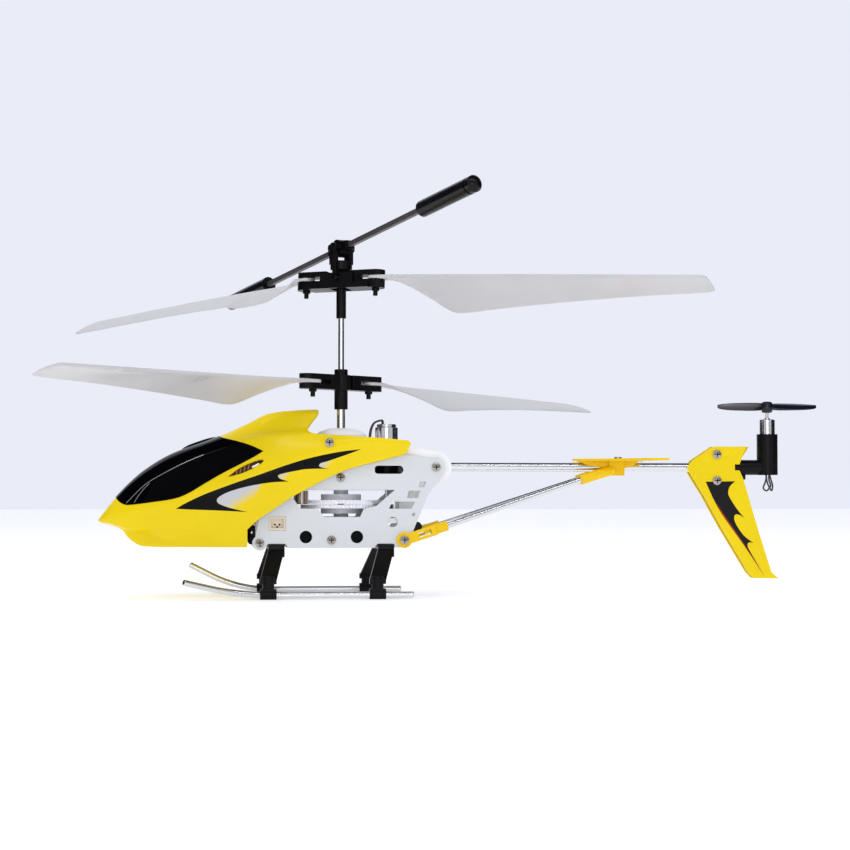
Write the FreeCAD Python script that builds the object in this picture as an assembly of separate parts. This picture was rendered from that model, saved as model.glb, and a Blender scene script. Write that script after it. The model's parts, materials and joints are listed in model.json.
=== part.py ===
"""Toy helicopter with two coaxial main rotors, a flybar and an upright tail rotor.

Millimetres, +Z up, nose towards -X, tail towards +X, the model's left side towards -Y.
Everything is drawn about the mast axis (x = 0, y = 0) with the ground at z = 0, and moved
at the end so that the origin is the middle of the whole model's footprint on the ground.
"""
import FreeCAD
import Part
import math
import os

V = FreeCAD.Vector
X_AXIS = V(1, 0, 0)
Y_AXIS = V(0, 1, 0)
Z_AXIS = V(0, 0, 1)
LEFT = -1
RIGHT = 1
SIDES = (LEFT, RIGHT)

# ---- driving dimensions -------------------------------------------------------------
MAST_X = -26.04         # where the mast axis stands in the finished model
MAST_Y = -0.335

PLATE_Y = 9.5           # outer face of each side plate
PLATE_T = 0.8
FRAME_Y = 8.6           # outer face of the plastic main frame
SCREW_HEAD_R = 1.15
SCREW_R = 0.5

BOOM_Z = 33.4           # tail boom axis
BOOM_R = 1.2
BOOM_BORE_R = 0.9
BOOM_START = 19.5
BOOM_END = 110.0

OUTER_SHAFT_R = 1.08
INNER_SHAFT_R = 0.78
OUTER_SHAFT_BORE_R = 0.84
SHAFT_CLEARANCE = 0.04

GEAR_MODULE = 0.3
GEAR_TEETH = 68
PINION_TEETH = 11
GEAR_CENTRES = GEAR_MODULE * (GEAR_TEETH + PINION_TEETH) / 2
FRONT_MOTOR_BEARING = 206.6      # degrees round the mast, seen from above
REAR_MOTOR_BEARING = 0.0
MOTOR_R = 3.0
MOTOR_SHAFT_R = 0.4
MOTOR_FOOT = 29.4        # the motors stand on the middle deck's top face
FRONT_MOTOR_TOP = 41.2
REAR_MOTOR_TOP = 44.5
LEAD_R = 0.25
TAIL_LEAD_R = 0.22
LEAD_DROP = -4.4         # where the rear motor's leads go down, from its axis

PIN_RADIUS = 10.0       # blade pins, from the mast axis
PIN_R = 0.5
PIN_HOLE_R = 0.55
FORK_SLOT = 1.1          # height of the slot that holds a blade root
FORK_HALF_WIDTH = 2.1
ROOT_HALF_T = 0.5        # half thickness of a blade root
LOWER_PLANE = 55.3      # middle of the lower rotor's fork slots
UPPER_PLANE = 82.25
LOWER_HUB_ANGLE = 220.0          # direction of the left lower fork, seen from above
UPPER_HUB_ANGLE = -30.0          # direction of the right upper fork
LOWER_LEFT_BLADE = 224.0
LOWER_RIGHT_BLADE = 41.0
UPPER_RIGHT_BLADE = -22.0
UPPER_LEFT_BLADE = 133.5
FLYBAR_ANGLE = -63.4
FLYBAR_HALF = 64.0
FLYBAR_PIVOT_Z = 90.2
FLYBAR_TILT = 8.4       # rest tilt, near end up
LINK_RATIO = 0.55       # the hub feathers this much of the flybar's tilt, through the links
HUB_TILT = LINK_RATIO * FLYBAR_TILT
LINK_ARM = 4.2          # links stand this far from the mast, square to the upper hub

SKID_Y = 17.5
SKID_Z = 1.05
ROD_R = 0.8
STRUT_R = 0.8
STRUT_SOCKET_R = 1.3
TAIL_ROTOR_X = 113.2
TAIL_MOTOR_R = 2.05
TAIL_SLEEVE_R = 2.75
TAIL_ARM_R = 2.0
TAIL_ARM_START = 104.05   # the arm's front end, at the fins' rear edge

FRONT_SCREW = (-21.2, 13.9)
LOWER_SCREW = (-3.0, 14.6)
UPPER_SCREW = (-0.7, 30.5)
STRUT_SCREW = (15.6, 14.6)
BOOM_SCREW = (23.8, 33.2)
CANOPY_SCREW = (-3.7, 39.4)
CANOPY_ARM_Y = 11.65     # outer face of the canopy at its own screw


# ---- helpers ------------------------------------------------------------------------
def box(x0, x1, y0, y1, z0, z1):
    return Part.makeBox(x1 - x0, y1 - y0, z1 - z0, V(x0, y0, z0))


def rod(start, end, radius):
    start = V(*start)
    run = V(*end) - start
    return Part.makeCylinder(radius, run.Length, start, run)


def disc(x, y, z0, z1, radius):
    return Part.makeCylinder(radius, z1 - z0, V(x, y, z0))


def tube(x, y, z0, z1, radius, bore):
    return disc(x, y, z0, z1, radius).cut(disc(x, y, z0 - 1, z1 + 1, bore))


def polygon(points):
    return Part.makePolygon(points + [points[0]])


def prism_xz(points, y0, y1):
    face = Part.Face(polygon([V(x, y0, z) for x, z in points]))
    return face.extrude(V(0, y1 - y0, 0))


def prism_xy(points, z0, z1):
    face = Part.Face(polygon([V(x, y, z0) for x, y in points]))
    return face.extrude(V(0, 0, z1 - z0))


def revolve(profile):
    """Turn a closed (radius, z) outline round the mast axis."""
    face = Part.Face(polygon([V(r, 0, z) for r, z in profile]))
    return face.revolve(V(0, 0, 0), Z_AXIS, 360)


def join(shapes):
    result = shapes[0]
    for shape in shapes[1:]:
        result = result.fuse(shape)
    return result.removeSplitter()


def turned(shape, angle, axis=Z_AXIS, centre=V(0, 0, 0)):
    copy = shape.copy()
    copy.rotate(centre, axis, angle)
    return copy


def moved(shape, x, y, z):
    copy = shape.copy()
    copy.translate(V(x, y, z))
    return copy


def mirrored(shape):
    return shape.mirror(V(0, 0, 0), Y_AXIS)


def bearing_point(angle, distance):
    return (distance * math.cos(math.radians(angle)), distance * math.sin(math.radians(angle)))


def wire_tube(points, radius):
    """A lead: straight runs between the points, joined by tangent arcs."""
    points = [V(*p) for p in points]
    edges = []
    start = points[0]
    for before, corner, after in zip(points, points[1:], points[2:]):
        into = corner - before
        out = after - corner
        reach = 0.45 * min(into.Length, out.Length)
        into.normalize()
        out.normalize()
        begin = corner - into * reach
        finish = corner + out * reach
        half_turn = into.getAngle(out) / 2
        sagitta = (reach / math.tan(half_turn)) * (1 / math.cos(half_turn) - 1)
        inward = out - into
        inward.normalize()
        edges.append(Part.LineSegment(start, begin).toShape())
        edges.append(Part.Arc(begin, corner + inward * sagitta, finish).toShape())
        start = finish
    edges.append(Part.LineSegment(start, points[-1]).toShape())
    path = Part.Wire(edges)
    first = points[1] - points[0]
    section = Part.Wire(Part.Circle(points[0], first, radius).toShape())
    return path.makePipeShell([section], True, True)


def screw(x, z, side, face_y, length):
    """A small cross-head screw put in along Y, its head on the face at face_y."""
    head = Part.makeCylinder(SCREW_HEAD_R, 0.35, V(x, 0, z), V(0, -1, 0))
    dome = Part.makeSphere(2.05, V(x, 1.35, z)).common(
        Part.makeCylinder(SCREW_HEAD_R, 1.0, V(x, -0.3, z), V(0, -1, 0)))
    shank = Part.makeCylinder(SCREW_R, length, V(x, 0, z), Y_AXIS)
    slot_a = box(x - 0.7, x + 0.7, -1.0, -0.4, z - 0.13, z + 0.13)
    slot_b = box(x - 0.13, x + 0.13, -1.0, -0.4, z - 0.7, z + 0.7)
    body = join([head, dome, shank]).cut(slot_a).cut(slot_b)
    body = moved(body, 0, -face_y, 0)
    return body if side == LEFT else mirrored(body)


def screw_hole(x, z, radius=SCREW_R + 0.05):
    return rod((x, -14, z), (x, 14, z), radius)


# ---- gears --------------------------------------------------------------------------
def gear_blank(teeth, z0, z1, bore, first_tooth):
    """A spur gear, a little slack so that a pair runs freely; angles in degrees."""
    pitch_r = GEAR_MODULE * teeth / 2
    tip_r = pitch_r + 0.8 * GEAR_MODULE
    root_r = pitch_r - 1.15 * GEAR_MODULE
    step = 2 * math.pi / teeth
    points = []
    for tooth in range(teeth):
        centre = math.radians(first_tooth) + tooth * step
        for radius, half in ((root_r, 0.27), (tip_r, 0.12), (tip_r, -0.12), (root_r, -0.27)):
            angle = centre - half * step
            points.append((radius * math.cos(angle), radius * math.sin(angle)))
    return prism_xy(points, z0, z1).cut(disc(0, 0, z0 - 1, z1 + 1, bore))


def gears():
    upper = join([
        gear_blank(GEAR_TEETH, 23.9, 24.8, OUTER_SHAFT_R, FRONT_MOTOR_BEARING),
        tube(0, 0, 24.8, 26.3, 5.2, OUTER_SHAFT_R),
        tube(0, 0, 26.3, 27.6, 1.9, OUTER_SHAFT_R)])
    lower = join([
        gear_blank(GEAR_TEETH, 22.7, 23.6, INNER_SHAFT_R, REAR_MOTOR_BEARING),
        tube(0, 0, 21.3, 22.7, 5.2, INNER_SHAFT_R),
        tube(0, 0, 20.5, 21.3, 1.9, INNER_SHAFT_R)])
    half_tooth = 180.0 / PINION_TEETH
    front = gear_blank(PINION_TEETH, 23.75, 27.2, MOTOR_SHAFT_R, FRONT_MOTOR_BEARING + 180 + half_tooth)
    rear = gear_blank(PINION_TEETH, 22.5, 23.7, MOTOR_SHAFT_R, REAR_MOTOR_BEARING + 180 + half_tooth)
    front_x, front_y = bearing_point(FRONT_MOTOR_BEARING, GEAR_CENTRES)
    rear_x, rear_y = bearing_point(REAR_MOTOR_BEARING, GEAR_CENTRES)
    return {
        "upper_drive_gear": upper,
        "lower_drive_gear": lower,
        "front_pinion": moved(front, front_x, front_y, 0),
        "rear_pinion": moved(rear, rear_x, rear_y, 0),
        "front_motor_shaft": disc(front_x, front_y, 23.7, 31.5, MOTOR_SHAFT_R),
        "rear_motor_shaft": disc(rear_x, rear_y, 22.4, 31.5, MOTOR_SHAFT_R),
    }


def motor(x, y, z0, z1):
    can = disc(x, y, z0, z1 - 0.8, MOTOR_R)
    cap = disc(x, y, z1 - 0.8, z1, MOTOR_R - 0.45)
    boss = disc(x, y, z0 - 0.6, z0, 1.0)
    return join([can, cap, boss]).cut(disc(x, y, z0 - 1, z0 + 2.4, MOTOR_SHAFT_R + 0.05))


def motors():
    front_x, front_y = bearing_point(FRONT_MOTOR_BEARING, GEAR_CENTRES)
    rear_x, rear_y = bearing_point(REAR_MOTOR_BEARING, GEAR_CENTRES)
    rear_leads = []
    front_leads = []
    for side in SIDES:
        rear_leads.append(wire_tube([
            (rear_x - 1.0, 1.1 * side, REAR_MOTOR_TOP), (rear_x - 1.0, 1.1 * side, 45.6),
            (rear_x - 3.2, 1.2 * side, 45.1), (rear_x - 4.1, 1.4 * side, 43.2),
            (rear_x + LEAD_DROP, 1.6 * side, 40.6), (rear_x + LEAD_DROP, 1.7 * side, 38.1)], LEAD_R))
        front_leads.append(wire_tube([
            (front_x - 1.0, front_y + 0.9 * side, FRONT_MOTOR_TOP), (front_x - 1.0, front_y + 0.9 * side, 42.4),
            (front_x - 4.6, front_y + 0.9 * side, 41.6), (front_x - 7.0, front_y + 1.2 * side, 37.0),
            (front_x - 9.0, front_y + 1.6 * side, 30.0), (front_x - 11.5, front_y + 2.0 * side, 24.5),
            (front_x - 15.0, front_y + 2.0 * side, 22.0)], LEAD_R))
    return {
        "front_motor": motor(front_x, front_y, MOTOR_FOOT, FRONT_MOTOR_TOP),
        "rear_motor": motor(rear_x, rear_y, MOTOR_FOOT, REAR_MOTOR_TOP),
        "front_motor_leads": Part.makeCompound(front_leads),
        "rear_motor_leads": Part.makeCompound(rear_leads),
    }


# ---- mast and rotors ----------------------------------------------------------------
def shafts():
    bearing_bore = OUTER_SHAFT_R + SHAFT_CLEARANCE
    return {
        "outer_mast_shaft": tube(0, 0, 23.9, 58.2, OUTER_SHAFT_R, OUTER_SHAFT_BORE_R),
        "inner_mast_shaft": disc(0, 0, 17.9, 86.9, INNER_SHAFT_R),
        "inner_shaft_collar": tube(0, 0, 18.0, 18.7, 1.6, INNER_SHAFT_R),
        "mast_bearings": Part.makeCompound([
            tube(0, 0, 41.6, 43.2, 1.9, bearing_bore),
            tube(0, 0, 28.0, 29.4, 1.9, bearing_bore),
            tube(0, 0, 18.9, 20.2, 1.9, INNER_SHAFT_R + SHAFT_CLEARANCE)]),
    }


def fork(reach, root, low, high, slot_middle, width):
    """One end of a hub: a bar along +X with a slot for the blade root, round at its end."""
    bar = box(root - 3, reach - width, -width, width, low, high)
    end = disc(reach - width, 0, low, high, width)
    slot = box(root, reach + 1, -width - 1, width + 1, slot_middle - FORK_SLOT / 2, slot_middle + FORK_SLOT / 2)
    solid = join([bar, end]).cut(slot)
    return solid.cut(disc(PIN_RADIUS, 0, low - 1, high + 1, PIN_HOLE_R))


def lower_hub():
    low = LOWER_PLANE - 2.0
    high = LOWER_PLANE + 1.9
    parts = []
    for side in SIDES:
        arm = fork(14.0, 5.3, low, high, LOWER_PLANE, FORK_HALF_WIDTH)
        parts.append(turned(arm, 0 if side == RIGHT else 180))
    parts.append(disc(0, 0, low, high, 2.6))
    parts.append(disc(0, 0, 48.3, low, 1.75))
    parts.append(disc(0, 0, high, 58.7, 1.75))
    hub = join(parts).cut(disc(0, 0, 40, 58.2, OUTER_SHAFT_R)).cut(disc(0, 0, 58, 60, OUTER_SHAFT_BORE_R))
    return turned(hub, LOWER_HUB_ANGLE)


def blade_pin(low, high):
    """Pin with a round head under the fork and a small tip below it."""
    return join([
        disc(PIN_RADIUS, 0, low, high, PIN_R),
        disc(PIN_RADIUS, 0, low - 0.7, low, 2 * PIN_R),
        disc(PIN_RADIUS, 0, low - 2.0, low - 0.7, 1.2 * PIN_R)])


def blade_sections(droop, lead):
    """(distance, leading edge, trailing edge, pitch) along a blade, from its pin outwards."""
    stations = (
        (2.2, 2.2, 1.9, -1.9, 0.0),
        (8.0, 8.0, 2.4, -4.4, 13.0),
        (13.5, 13.5, 2.9, -8.6, 21.0),
        (20.0, 20.0, 3.2, -11.2, 26.0),
        (30.0, 30.0, 3.2, -10.6, 24.0),
        (50.0, 50.0, 3.2, -9.0, 20.0),
        (85.5, 87.0, 3.2, -6.3, 14.0))
    wires = []
    for lead_x, trail_x, front, back, pitch in stations:
        fall = droop * (max(lead_x - 4, 0) / 81.5) ** 1.3
        rake = (front - back) * math.sin(math.radians(pitch))
        chord = (front - back) * math.cos(math.radians(pitch))
        edge_z = -fall
        tail_z = edge_z - rake
        tail_y = front - chord
        wires.append(polygon([
            V(lead_x, lead * front, edge_z + 0.35), V(trail_x, lead * tail_y, tail_z + 0.25),
            V(trail_x, lead * tail_y, tail_z - 0.25), V(lead_x, lead * front, edge_z - 0.35)]))
    return wires


def blade(droop, lead, angle, hub_angle, plane):
    """A main blade with its root tab on the pin; lead is +1 where it sweeps anticlockwise."""
    wing = Part.makeLoft(blade_sections(droop, lead), True, True)
    tab = join([disc(0, 0, -ROOT_HALF_T, ROOT_HALF_T, 2.2), box(0, 3.0, -1.9, 1.9, -ROOT_HALF_T, ROOT_HALF_T)])
    solid = join([tab, wing]).cut(disc(0, 0, -3, 3, PIN_HOLE_R))
    solid = turned(solid, angle)
    pin_x, pin_y = bearing_point(hub_angle, PIN_RADIUS)
    return moved(solid, pin_x, pin_y, plane)


def lower_rotor():
    pins = [turned(blade_pin(LOWER_PLANE - 2.0, LOWER_PLANE + 2.0), LOWER_HUB_ANGLE + turn)
            for turn in (0, 180)]
    return {
        "lower_rotor_hub": lower_hub(),
        "lower_blade_pins": Part.makeCompound(pins),
        "lower_blade_left": blade(0.0, 1, LOWER_LEFT_BLADE, LOWER_HUB_ANGLE, LOWER_PLANE),
        "lower_blade_right": blade(2.9, 1, LOWER_RIGHT_BLADE, LOWER_HUB_ANGLE - 180, LOWER_PLANE),
    }


def feathered(shape):
    """Tip a part of the upper hub about the line through its two blade pins."""
    x, y = bearing_point(UPPER_HUB_ANGLE, 1)
    return turned(shape, -HUB_TILT, V(x, y, 0), V(0, 0, UPPER_PLANE))


def upper_hub():
    low = UPPER_PLANE - 2.75
    high = UPPER_PLANE + 1.9
    parts = []
    for turn in (0, 180):
        arm = fork(12.4, 5.2, low, high, UPPER_PLANE, FORK_HALF_WIDTH)
        arm = arm.cut(box(0, 3.4, -3, 3, low - 1, high + 1))
        parts.append(turned(arm, turn))
    ring = box(-4.6, 4.6, -2.9, 2.9, UPPER_PLANE - 1.3, UPPER_PLANE + 1.3)
    plate = box(-9.0, 9.0, -2.9, 2.9, low, UPPER_PLANE - 1.3)
    well = box(-2.4, 2.4, -2.1, 2.1, low - 1, high + 1)
    hub = join(parts + [ring, plate])
    for turn in (0, 180):
        slot = box(5.2, 14, -4, 4, UPPER_PLANE - FORK_SLOT / 2, UPPER_PLANE + FORK_SLOT / 2)
        hub = hub.cut(turned(slot, turn)).cut(turned(disc(PIN_RADIUS, 0, low - 1, high + 1, PIN_HOLE_R), turn))
    hub = hub.cut(well)
    trunnion = rod((1.85, 0, UPPER_PLANE), (2.9, 0, UPPER_PLANE), 0.45)
    hub = join([hub, trunnion, turned(trunnion, 180)])
    hub = turned(hub, UPPER_HUB_ANGLE)
    along = bearing_point(FLYBAR_ANGLE + 90, 1)
    horns = []
    for side in SIDES:
        x, y = bearing_point(UPPER_HUB_ANGLE - 90, -LINK_ARM * side)
        reach = V(along[0], along[1], 0)
        centre = V(x, y, UPPER_PLANE)
        outward = 1 if reach.dot(V(x, y, 0)) > 0 else -1
        start = centre - reach * (1.75 * outward)
        horns.append(Part.makeCylinder(0.35, 2.55, start, reach * outward))
    return join([hub] + horns)


def upper_rotor():
    pins = [feathered(turned(blade_pin(UPPER_PLANE - 2.75, UPPER_PLANE + 2.0), UPPER_HUB_ANGLE + turn))
            for turn in (0, 180)]
    right = blade(1.8, -1, UPPER_RIGHT_BLADE, UPPER_HUB_ANGLE, UPPER_PLANE)
    left = blade(5.4, -1, UPPER_LEFT_BLADE, UPPER_HUB_ANGLE + 180, UPPER_PLANE)
    return {
        "upper_rotor_hub": feathered(upper_hub()),
        "upper_blade_pins": Part.makeCompound(pins),
        "upper_blade_right": feathered(right),
        "upper_blade_left": feathered(left),
    }


def rotor_head():
    core = turned(box(-1.8, 1.8, -1.5, 1.5, 81.0, 84.7), UPPER_HUB_ANGLE)
    trunnion_bore = rod((-3, 0, UPPER_PLANE), (3, 0, UPPER_PLANE), 0.5)
    recess = turned(trunnion_bore, UPPER_HUB_ANGLE)
    sleeve = join([disc(0, 0, 72.0, 79.0, 1.28), disc(0, 0, 79.0, 81.2, 1.2)])
    collar = disc(0, 0, 84.7, 86.9, 2.85)
    cheeks = []
    for side in SIDES:
        low = min(1.75 * side, 2.75 * side)
        cheek = box(-1.5, 1.5, low, low + 1.0, 86.0, FLYBAR_PIVOT_Z)
        round_top = Part.makeCylinder(1.5, 1.0, V(0, low, FLYBAR_PIVOT_Z), Y_AXIS)
        cheeks.append(turned(join([cheek, round_top]), FLYBAR_ANGLE))
    head = join([core.cut(recess), sleeve, collar] + cheeks)
    head = head.cut(disc(0, 0, 70, 86.9, INNER_SHAFT_R))
    pin_dir = bearing_point(FLYBAR_ANGLE + 90, 2.75)
    pin = rod((-pin_dir[0], -pin_dir[1], FLYBAR_PIVOT_Z), (pin_dir[0], pin_dir[1], FLYBAR_PIVOT_Z), 0.45)
    pin_heads = []
    for side in SIDES:
        near = bearing_point(FLYBAR_ANGLE + 90, 2.75 * side)
        far = bearing_point(FLYBAR_ANGLE + 90, 3.6 * side)
        pin_heads.append(rod((*near, FLYBAR_PIVOT_Z), (*far, FLYBAR_PIVOT_Z), 0.9))
    return {"rotor_head": head.cut(pin), "flybar_pivot_pin": join([pin] + pin_heads)}


def tilted(shape):
    """Put a part drawn along +X, level with the flybar pivot, at the flybar's rest tilt."""
    shape = turned(shape, -FLYBAR_TILT, Y_AXIS, V(0, 0, FLYBAR_PIVOT_Z))
    return turned(shape, FLYBAR_ANGLE)


def link_offset(side):
    """A link's place measured along and across the flybar."""
    angle = UPPER_HUB_ANGLE - 90 - FLYBAR_ANGLE
    x, y = bearing_point(angle, -LINK_ARM * side)
    return x, y


def flybar():
    z = FLYBAR_PIVOT_Z
    barrel = Part.makeCylinder(2.3, 3.0, V(0, -1.5, z), Y_AXIS)
    beam = box(-4.6, 4.6, -1.3, 1.3, z - 1.1, z + 1.1)
    arms = []
    for side in SIDES:
        along, across = link_offset(side)
        sign = 1 if across > 0 else -1
        low = min(1.2 * sign, (abs(across) - 0.75) * sign)
        arm = box(along - 0.45, along + 0.45, low, low + abs(across) - 1.95, z - 0.6, z + 0.6)
        pin = Part.makeCylinder(0.35, 2.2, V(along, (abs(across) - 1.2) * sign, z), V(0, sign, 0))
        arms.append(join([arm, pin]))
    holder = join([barrel, beam] + arms)
    passage = box(-5, 5, -0.6, 0.6, z - 0.65, z + 0.65)
    pivot = rod((0, -3, z), (0, 3, z), 0.5)
    bar = box(-FLYBAR_HALF + 1.5, FLYBAR_HALF - 1.5, -0.6, 0.6, z - 0.65, z + 0.65).cut(pivot)
    weights = []
    for turn in (0, 180):
        body = rod((FLYBAR_HALF - 24, 0, z), (FLYBAR_HALF - 3.2, 0, z), 2.1)
        neck = rod((FLYBAR_HALF - 3.2, 0, z), (FLYBAR_HALF - 2.7, 0, z), 1.8)
        cap = rod((FLYBAR_HALF - 2.7, 0, z), (FLYBAR_HALF - 1.2, 0, z), 2.1)
        dome = Part.makeSphere(2.4, V(FLYBAR_HALF - 2.4, 0, z)).common(
            rod((FLYBAR_HALF - 1.2, 0, z), (FLYBAR_HALF, 0, z), 2.1))
        weight = join([body, neck, cap, dome]).cut(bar)
        weights.append(tilted(turned(weight, turn, Z_AXIS, V(0, 0, z))))
    return {
        "flybar_holder": tilted(holder.cut(passage).cut(pivot)),
        "flybar_rod": tilted(bar),
        "flybar_weights": Part.makeCompound(weights),
    }


def link_points(side):
    """Top pin and bottom pin of a link at rest."""
    along, across = link_offset(side)
    fall = along * math.sin(math.radians(FLYBAR_TILT))
    near = along * math.cos(math.radians(FLYBAR_TILT))
    top = turned(Part.Vertex(near, across, FLYBAR_PIVOT_Z + fall), FLYBAR_ANGLE).Point
    x, y = bearing_point(UPPER_HUB_ANGLE - 90, -LINK_ARM * side)
    bottom = feathered(Part.Vertex(x, y, UPPER_PLANE)).Point
    return top, bottom


def links():
    result = {}
    for side, name in ((LEFT, "link_near"), (RIGHT, "link_far")):
        top, bottom = link_points(side)
        across = V(*bearing_point(FLYBAR_ANGLE + 90, 1), 0)
        length = top.z - bottom.z
        bar = box(-0.4, 0.4, -0.35, 0.35, -length + 0.2, -0.2)
        upper_eye = Part.makeCylinder(0.75, 0.8, V(0, -0.4, 0), Y_AXIS)
        lower_eye = Part.makeCylinder(0.85, 0.8, V(0, -0.4, -length), Y_AXIS)
        solid = join([bar, upper_eye, lower_eye])
        solid = solid.cut(Part.makeCylinder(0.4, 3, V(0, -1.5, 0), Y_AXIS))
        solid = solid.cut(Part.makeCylinder(0.6, 3, V(0, -1.5, -length), Y_AXIS))
        solid = turned(solid, FLYBAR_ANGLE)
        middle = (top + bottom) * 0.5
        result[name] = moved(solid, middle.x, middle.y, top.z)
    return result


# ---- main frame ---------------------------------------------------------------------
def plate_outline():
    return [
        (-22.6, 13.9), (-21.6, 19.4), (-20.4, 26.0), (-12.5, 33.6), (-4.0, 36.3), (17.5, 36.3),
        (22.6, 35.3), (26.0, 32.6), (24.0, 29.0), (22.6, 27.4), (21.4, 25.3), (20.2, 22.5),
        (19.0, 19.6), (17.4, 15.6), (15.6, 12.7), (13.1, 12.7), (13.1, 13.7), (8.8, 13.7),
        (7.9, 12.6), (-13.9, 12.6), (-14.8, 13.7), (-19.1, 13.7), (-20.0, 12.7)]


def side_plate():
    y0 = -PLATE_Y
    y1 = -PLATE_Y + PLATE_T
    plate = prism_xz(plate_outline(), y0, y1)
    for x, z, radius in (FRONT_SCREW + (1.9,), STRUT_SCREW + (2.0,), BOOM_SCREW + (2.4,)):
        plate = plate.fuse(rod((x, y0, z), (x, y1, z), radius))
    plate = plate.cut(box(-19.1, -14.8, y0 - 1, y1 + 1, 12.0, 13.7))
    openings = [
        box(-18.95, -14.55, y0 - 1, y1 + 1, 17.05, 20.65),
        prism_xz([(-14.3, 27.4), (13.2, 27.4), (8.4, 23.2), (5.3, 22.6), (4.3, 20.5), (-5.0, 20.5),
                  (-6.4, 22.6), (-10.9, 22.6)], y0 - 1, y1 + 1),
        prism_xz([(19.3, 28.1), (19.7, 29.5), (21.3, 29.5), (20.7, 28.1)], y0 - 1, y1 + 1),
        prism_xz([(16.3, 25.3), (16.8, 27.2), (19.8, 27.2), (19.1, 25.3)], y0 - 1, y1 + 1),
        prism_xz([(11.7, 22.6), (12.5, 24.4), (18.4, 24.4), (17.5, 22.6)], y0 - 1, y1 + 1),
        box(8.9, 14.4, y0 - 1, y1 + 1, 31.5, 33.6),
        rod((8.95, y0 - 1, 32.55), (8.95, y1 + 1, 32.55), 1.05),
        rod((14.35, y0 - 1, 32.55), (14.35, y1 + 1, 32.55), 1.05),
    ]
    for x, z, radius in ((-9.5, 15.4, 1.6), (3.5, 15.4, 1.6), (12.7, 19.2, 1.3), (18.0, 21.1, 0.45)):
        openings.append(rod((x, y0 - 1, z), (x, y1 + 1, z), radius))
    for x, z in (FRONT_SCREW, LOWER_SCREW, UPPER_SCREW, STRUT_SCREW, BOOM_SCREW):
        openings.append(screw_hole(x, z))
    return plate.cut(Part.makeCompound(openings)).removeSplitter()


def main_frame():
    y = FRAME_Y
    front_x, front_y = bearing_point(FRONT_MOTOR_BEARING, GEAR_CENTRES)
    rear_x, rear_y = bearing_point(REAR_MOTOR_BEARING, GEAR_CENTRES)
    parts = [
        box(-22.3, 17.2, -y, y, 18.9, 20.2),
        box(-46.0, -22.3, -6.5, 6.5, 18.9, 20.2),
        box(-15.5, 19.0, -y, y, 28.0, 29.4),
        box(-14.5, 20.0, -y, y, 36.6, 38.0),
        box(-20.0, -15.2, -5.5, 5.5, 20.2, 27.0),
        box(-17.0, -15.2, -5.5, 5.5, 27.0, 29.4),
        box(14.6, 18.6, -6.5, 6.5, 20.2, 28.0),
        revolve([(0, 38.0), (6.6, 38.0), (6.6, 41.6), (5.6, 42.5), (3.6, 43.2), (2.6, 43.4), (0, 43.4)]),
        disc(0, 0, 29.4, 38.0, 2.9),
        rod((CANOPY_SCREW[0], -10.2, CANOPY_SCREW[1]), (CANOPY_SCREW[0], 10.2, CANOPY_SCREW[1]), 1.4),
    ]
    for side in SIDES:
        low = min(side * y, side * (y - 0.9))
        parts.append(box(-14.5, 20.0, low, low + 0.9, 29.4, 36.6))
        low = min(side * y, side * (y - 2.0))
        parts.append(prism_xz([(19.0, 28.0), (23.8, 29.1), (23.8, 37.3), (19.4, 38.0), (18.0, 38.0)],
                              low, low + 2.0))
        parts.append(rod((BOOM_SCREW[0], low, BOOM_SCREW[1]), (BOOM_SCREW[0], low + 2.0, BOOM_SCREW[1]), 4.1))
        for x, z, half in (FRONT_SCREW + (1.1,), LOWER_SCREW + (1.2,)):
            low = min(side * y, side * (y - 1.2))
            parts.append(box(x - half, x + half, low, low + 1.2, z - 1.2, 19.0))
    parts.append(box(17.0, 26.4, -2.4, 2.4, 31.0, 35.8))
    parts.append(box(17.0, 19.0, -y, y, 29.4, 36.6))
    parts.append(box(22.6, 25.0, -7.0, 7.0, 31.9, 34.5))
    frame = join(parts)
    openings = [
        disc(front_x, front_y, 29.4, 45, MOTOR_R + 0.05),
        disc(rear_x, rear_y, 29.4, 45, MOTOR_R + 0.05),
        disc(front_x, front_y, 27, 30, 1.15),
        disc(rear_x, rear_y, 27, 30, 1.15),
        disc(0, 0, 28.0, 29.4, 1.9),
        disc(0, 0, 41.6, 43.2, 1.9),
        disc(0, 0, 27, 45, OUTER_SHAFT_R + 0.35),
        disc(0, 0, 18.0, 21.0, 1.9),
        box(6.6, 16.9, -y - 1, -y + 1, 30.6, 34.6),
        box(6.6, 16.9, y - 1, y + 1, 30.6, 34.6),
        box(-19.0, -14.5, -y - 1, -4.3, 17.0, 20.7),
        rod((BOOM_START, 0, BOOM_Z), (40, 0, BOOM_Z), BOOM_R),
        disc(rear_x + LEAD_DROP, 1.7, 35, 39, 0.5),
        disc(rear_x + LEAD_DROP, -1.7, 35, 39, 0.5),
        rod((16, 0, BOOM_Z), (BOOM_START, 0, BOOM_Z), BOOM_BORE_R),
    ]
    for x, z in (FRONT_SCREW, LOWER_SCREW, UPPER_SCREW, BOOM_SCREW, CANOPY_SCREW):
        for side in SIDES:
            openings.append(rod((x, side * 5.0, z), (x, side * 14.0, z), SCREW_R + 0.05))
    return frame.cut(Part.makeCompound(openings)).removeSplitter()


def body_screws():
    solids = []
    for side in SIDES:
        for x, z in (FRONT_SCREW, LOWER_SCREW, UPPER_SCREW, BOOM_SCREW):
            solids.append(screw(x, z, side, PLATE_Y, 2.2))
        solids.append(screw(STRUT_SCREW[0], STRUT_SCREW[1], side, PLATE_Y + 1.0, 3.5))
        solids.append(screw(CANOPY_SCREW[0], CANOPY_SCREW[1], side, CANOPY_ARM_Y, 3.5))
    for z in (BOOM_Z + 3.4, BOOM_Z - 3.5):
        solids.append(screw(99.1, z, LEFT, 1.9, 3.4))
    return Part.makeCompound(solids)


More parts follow.
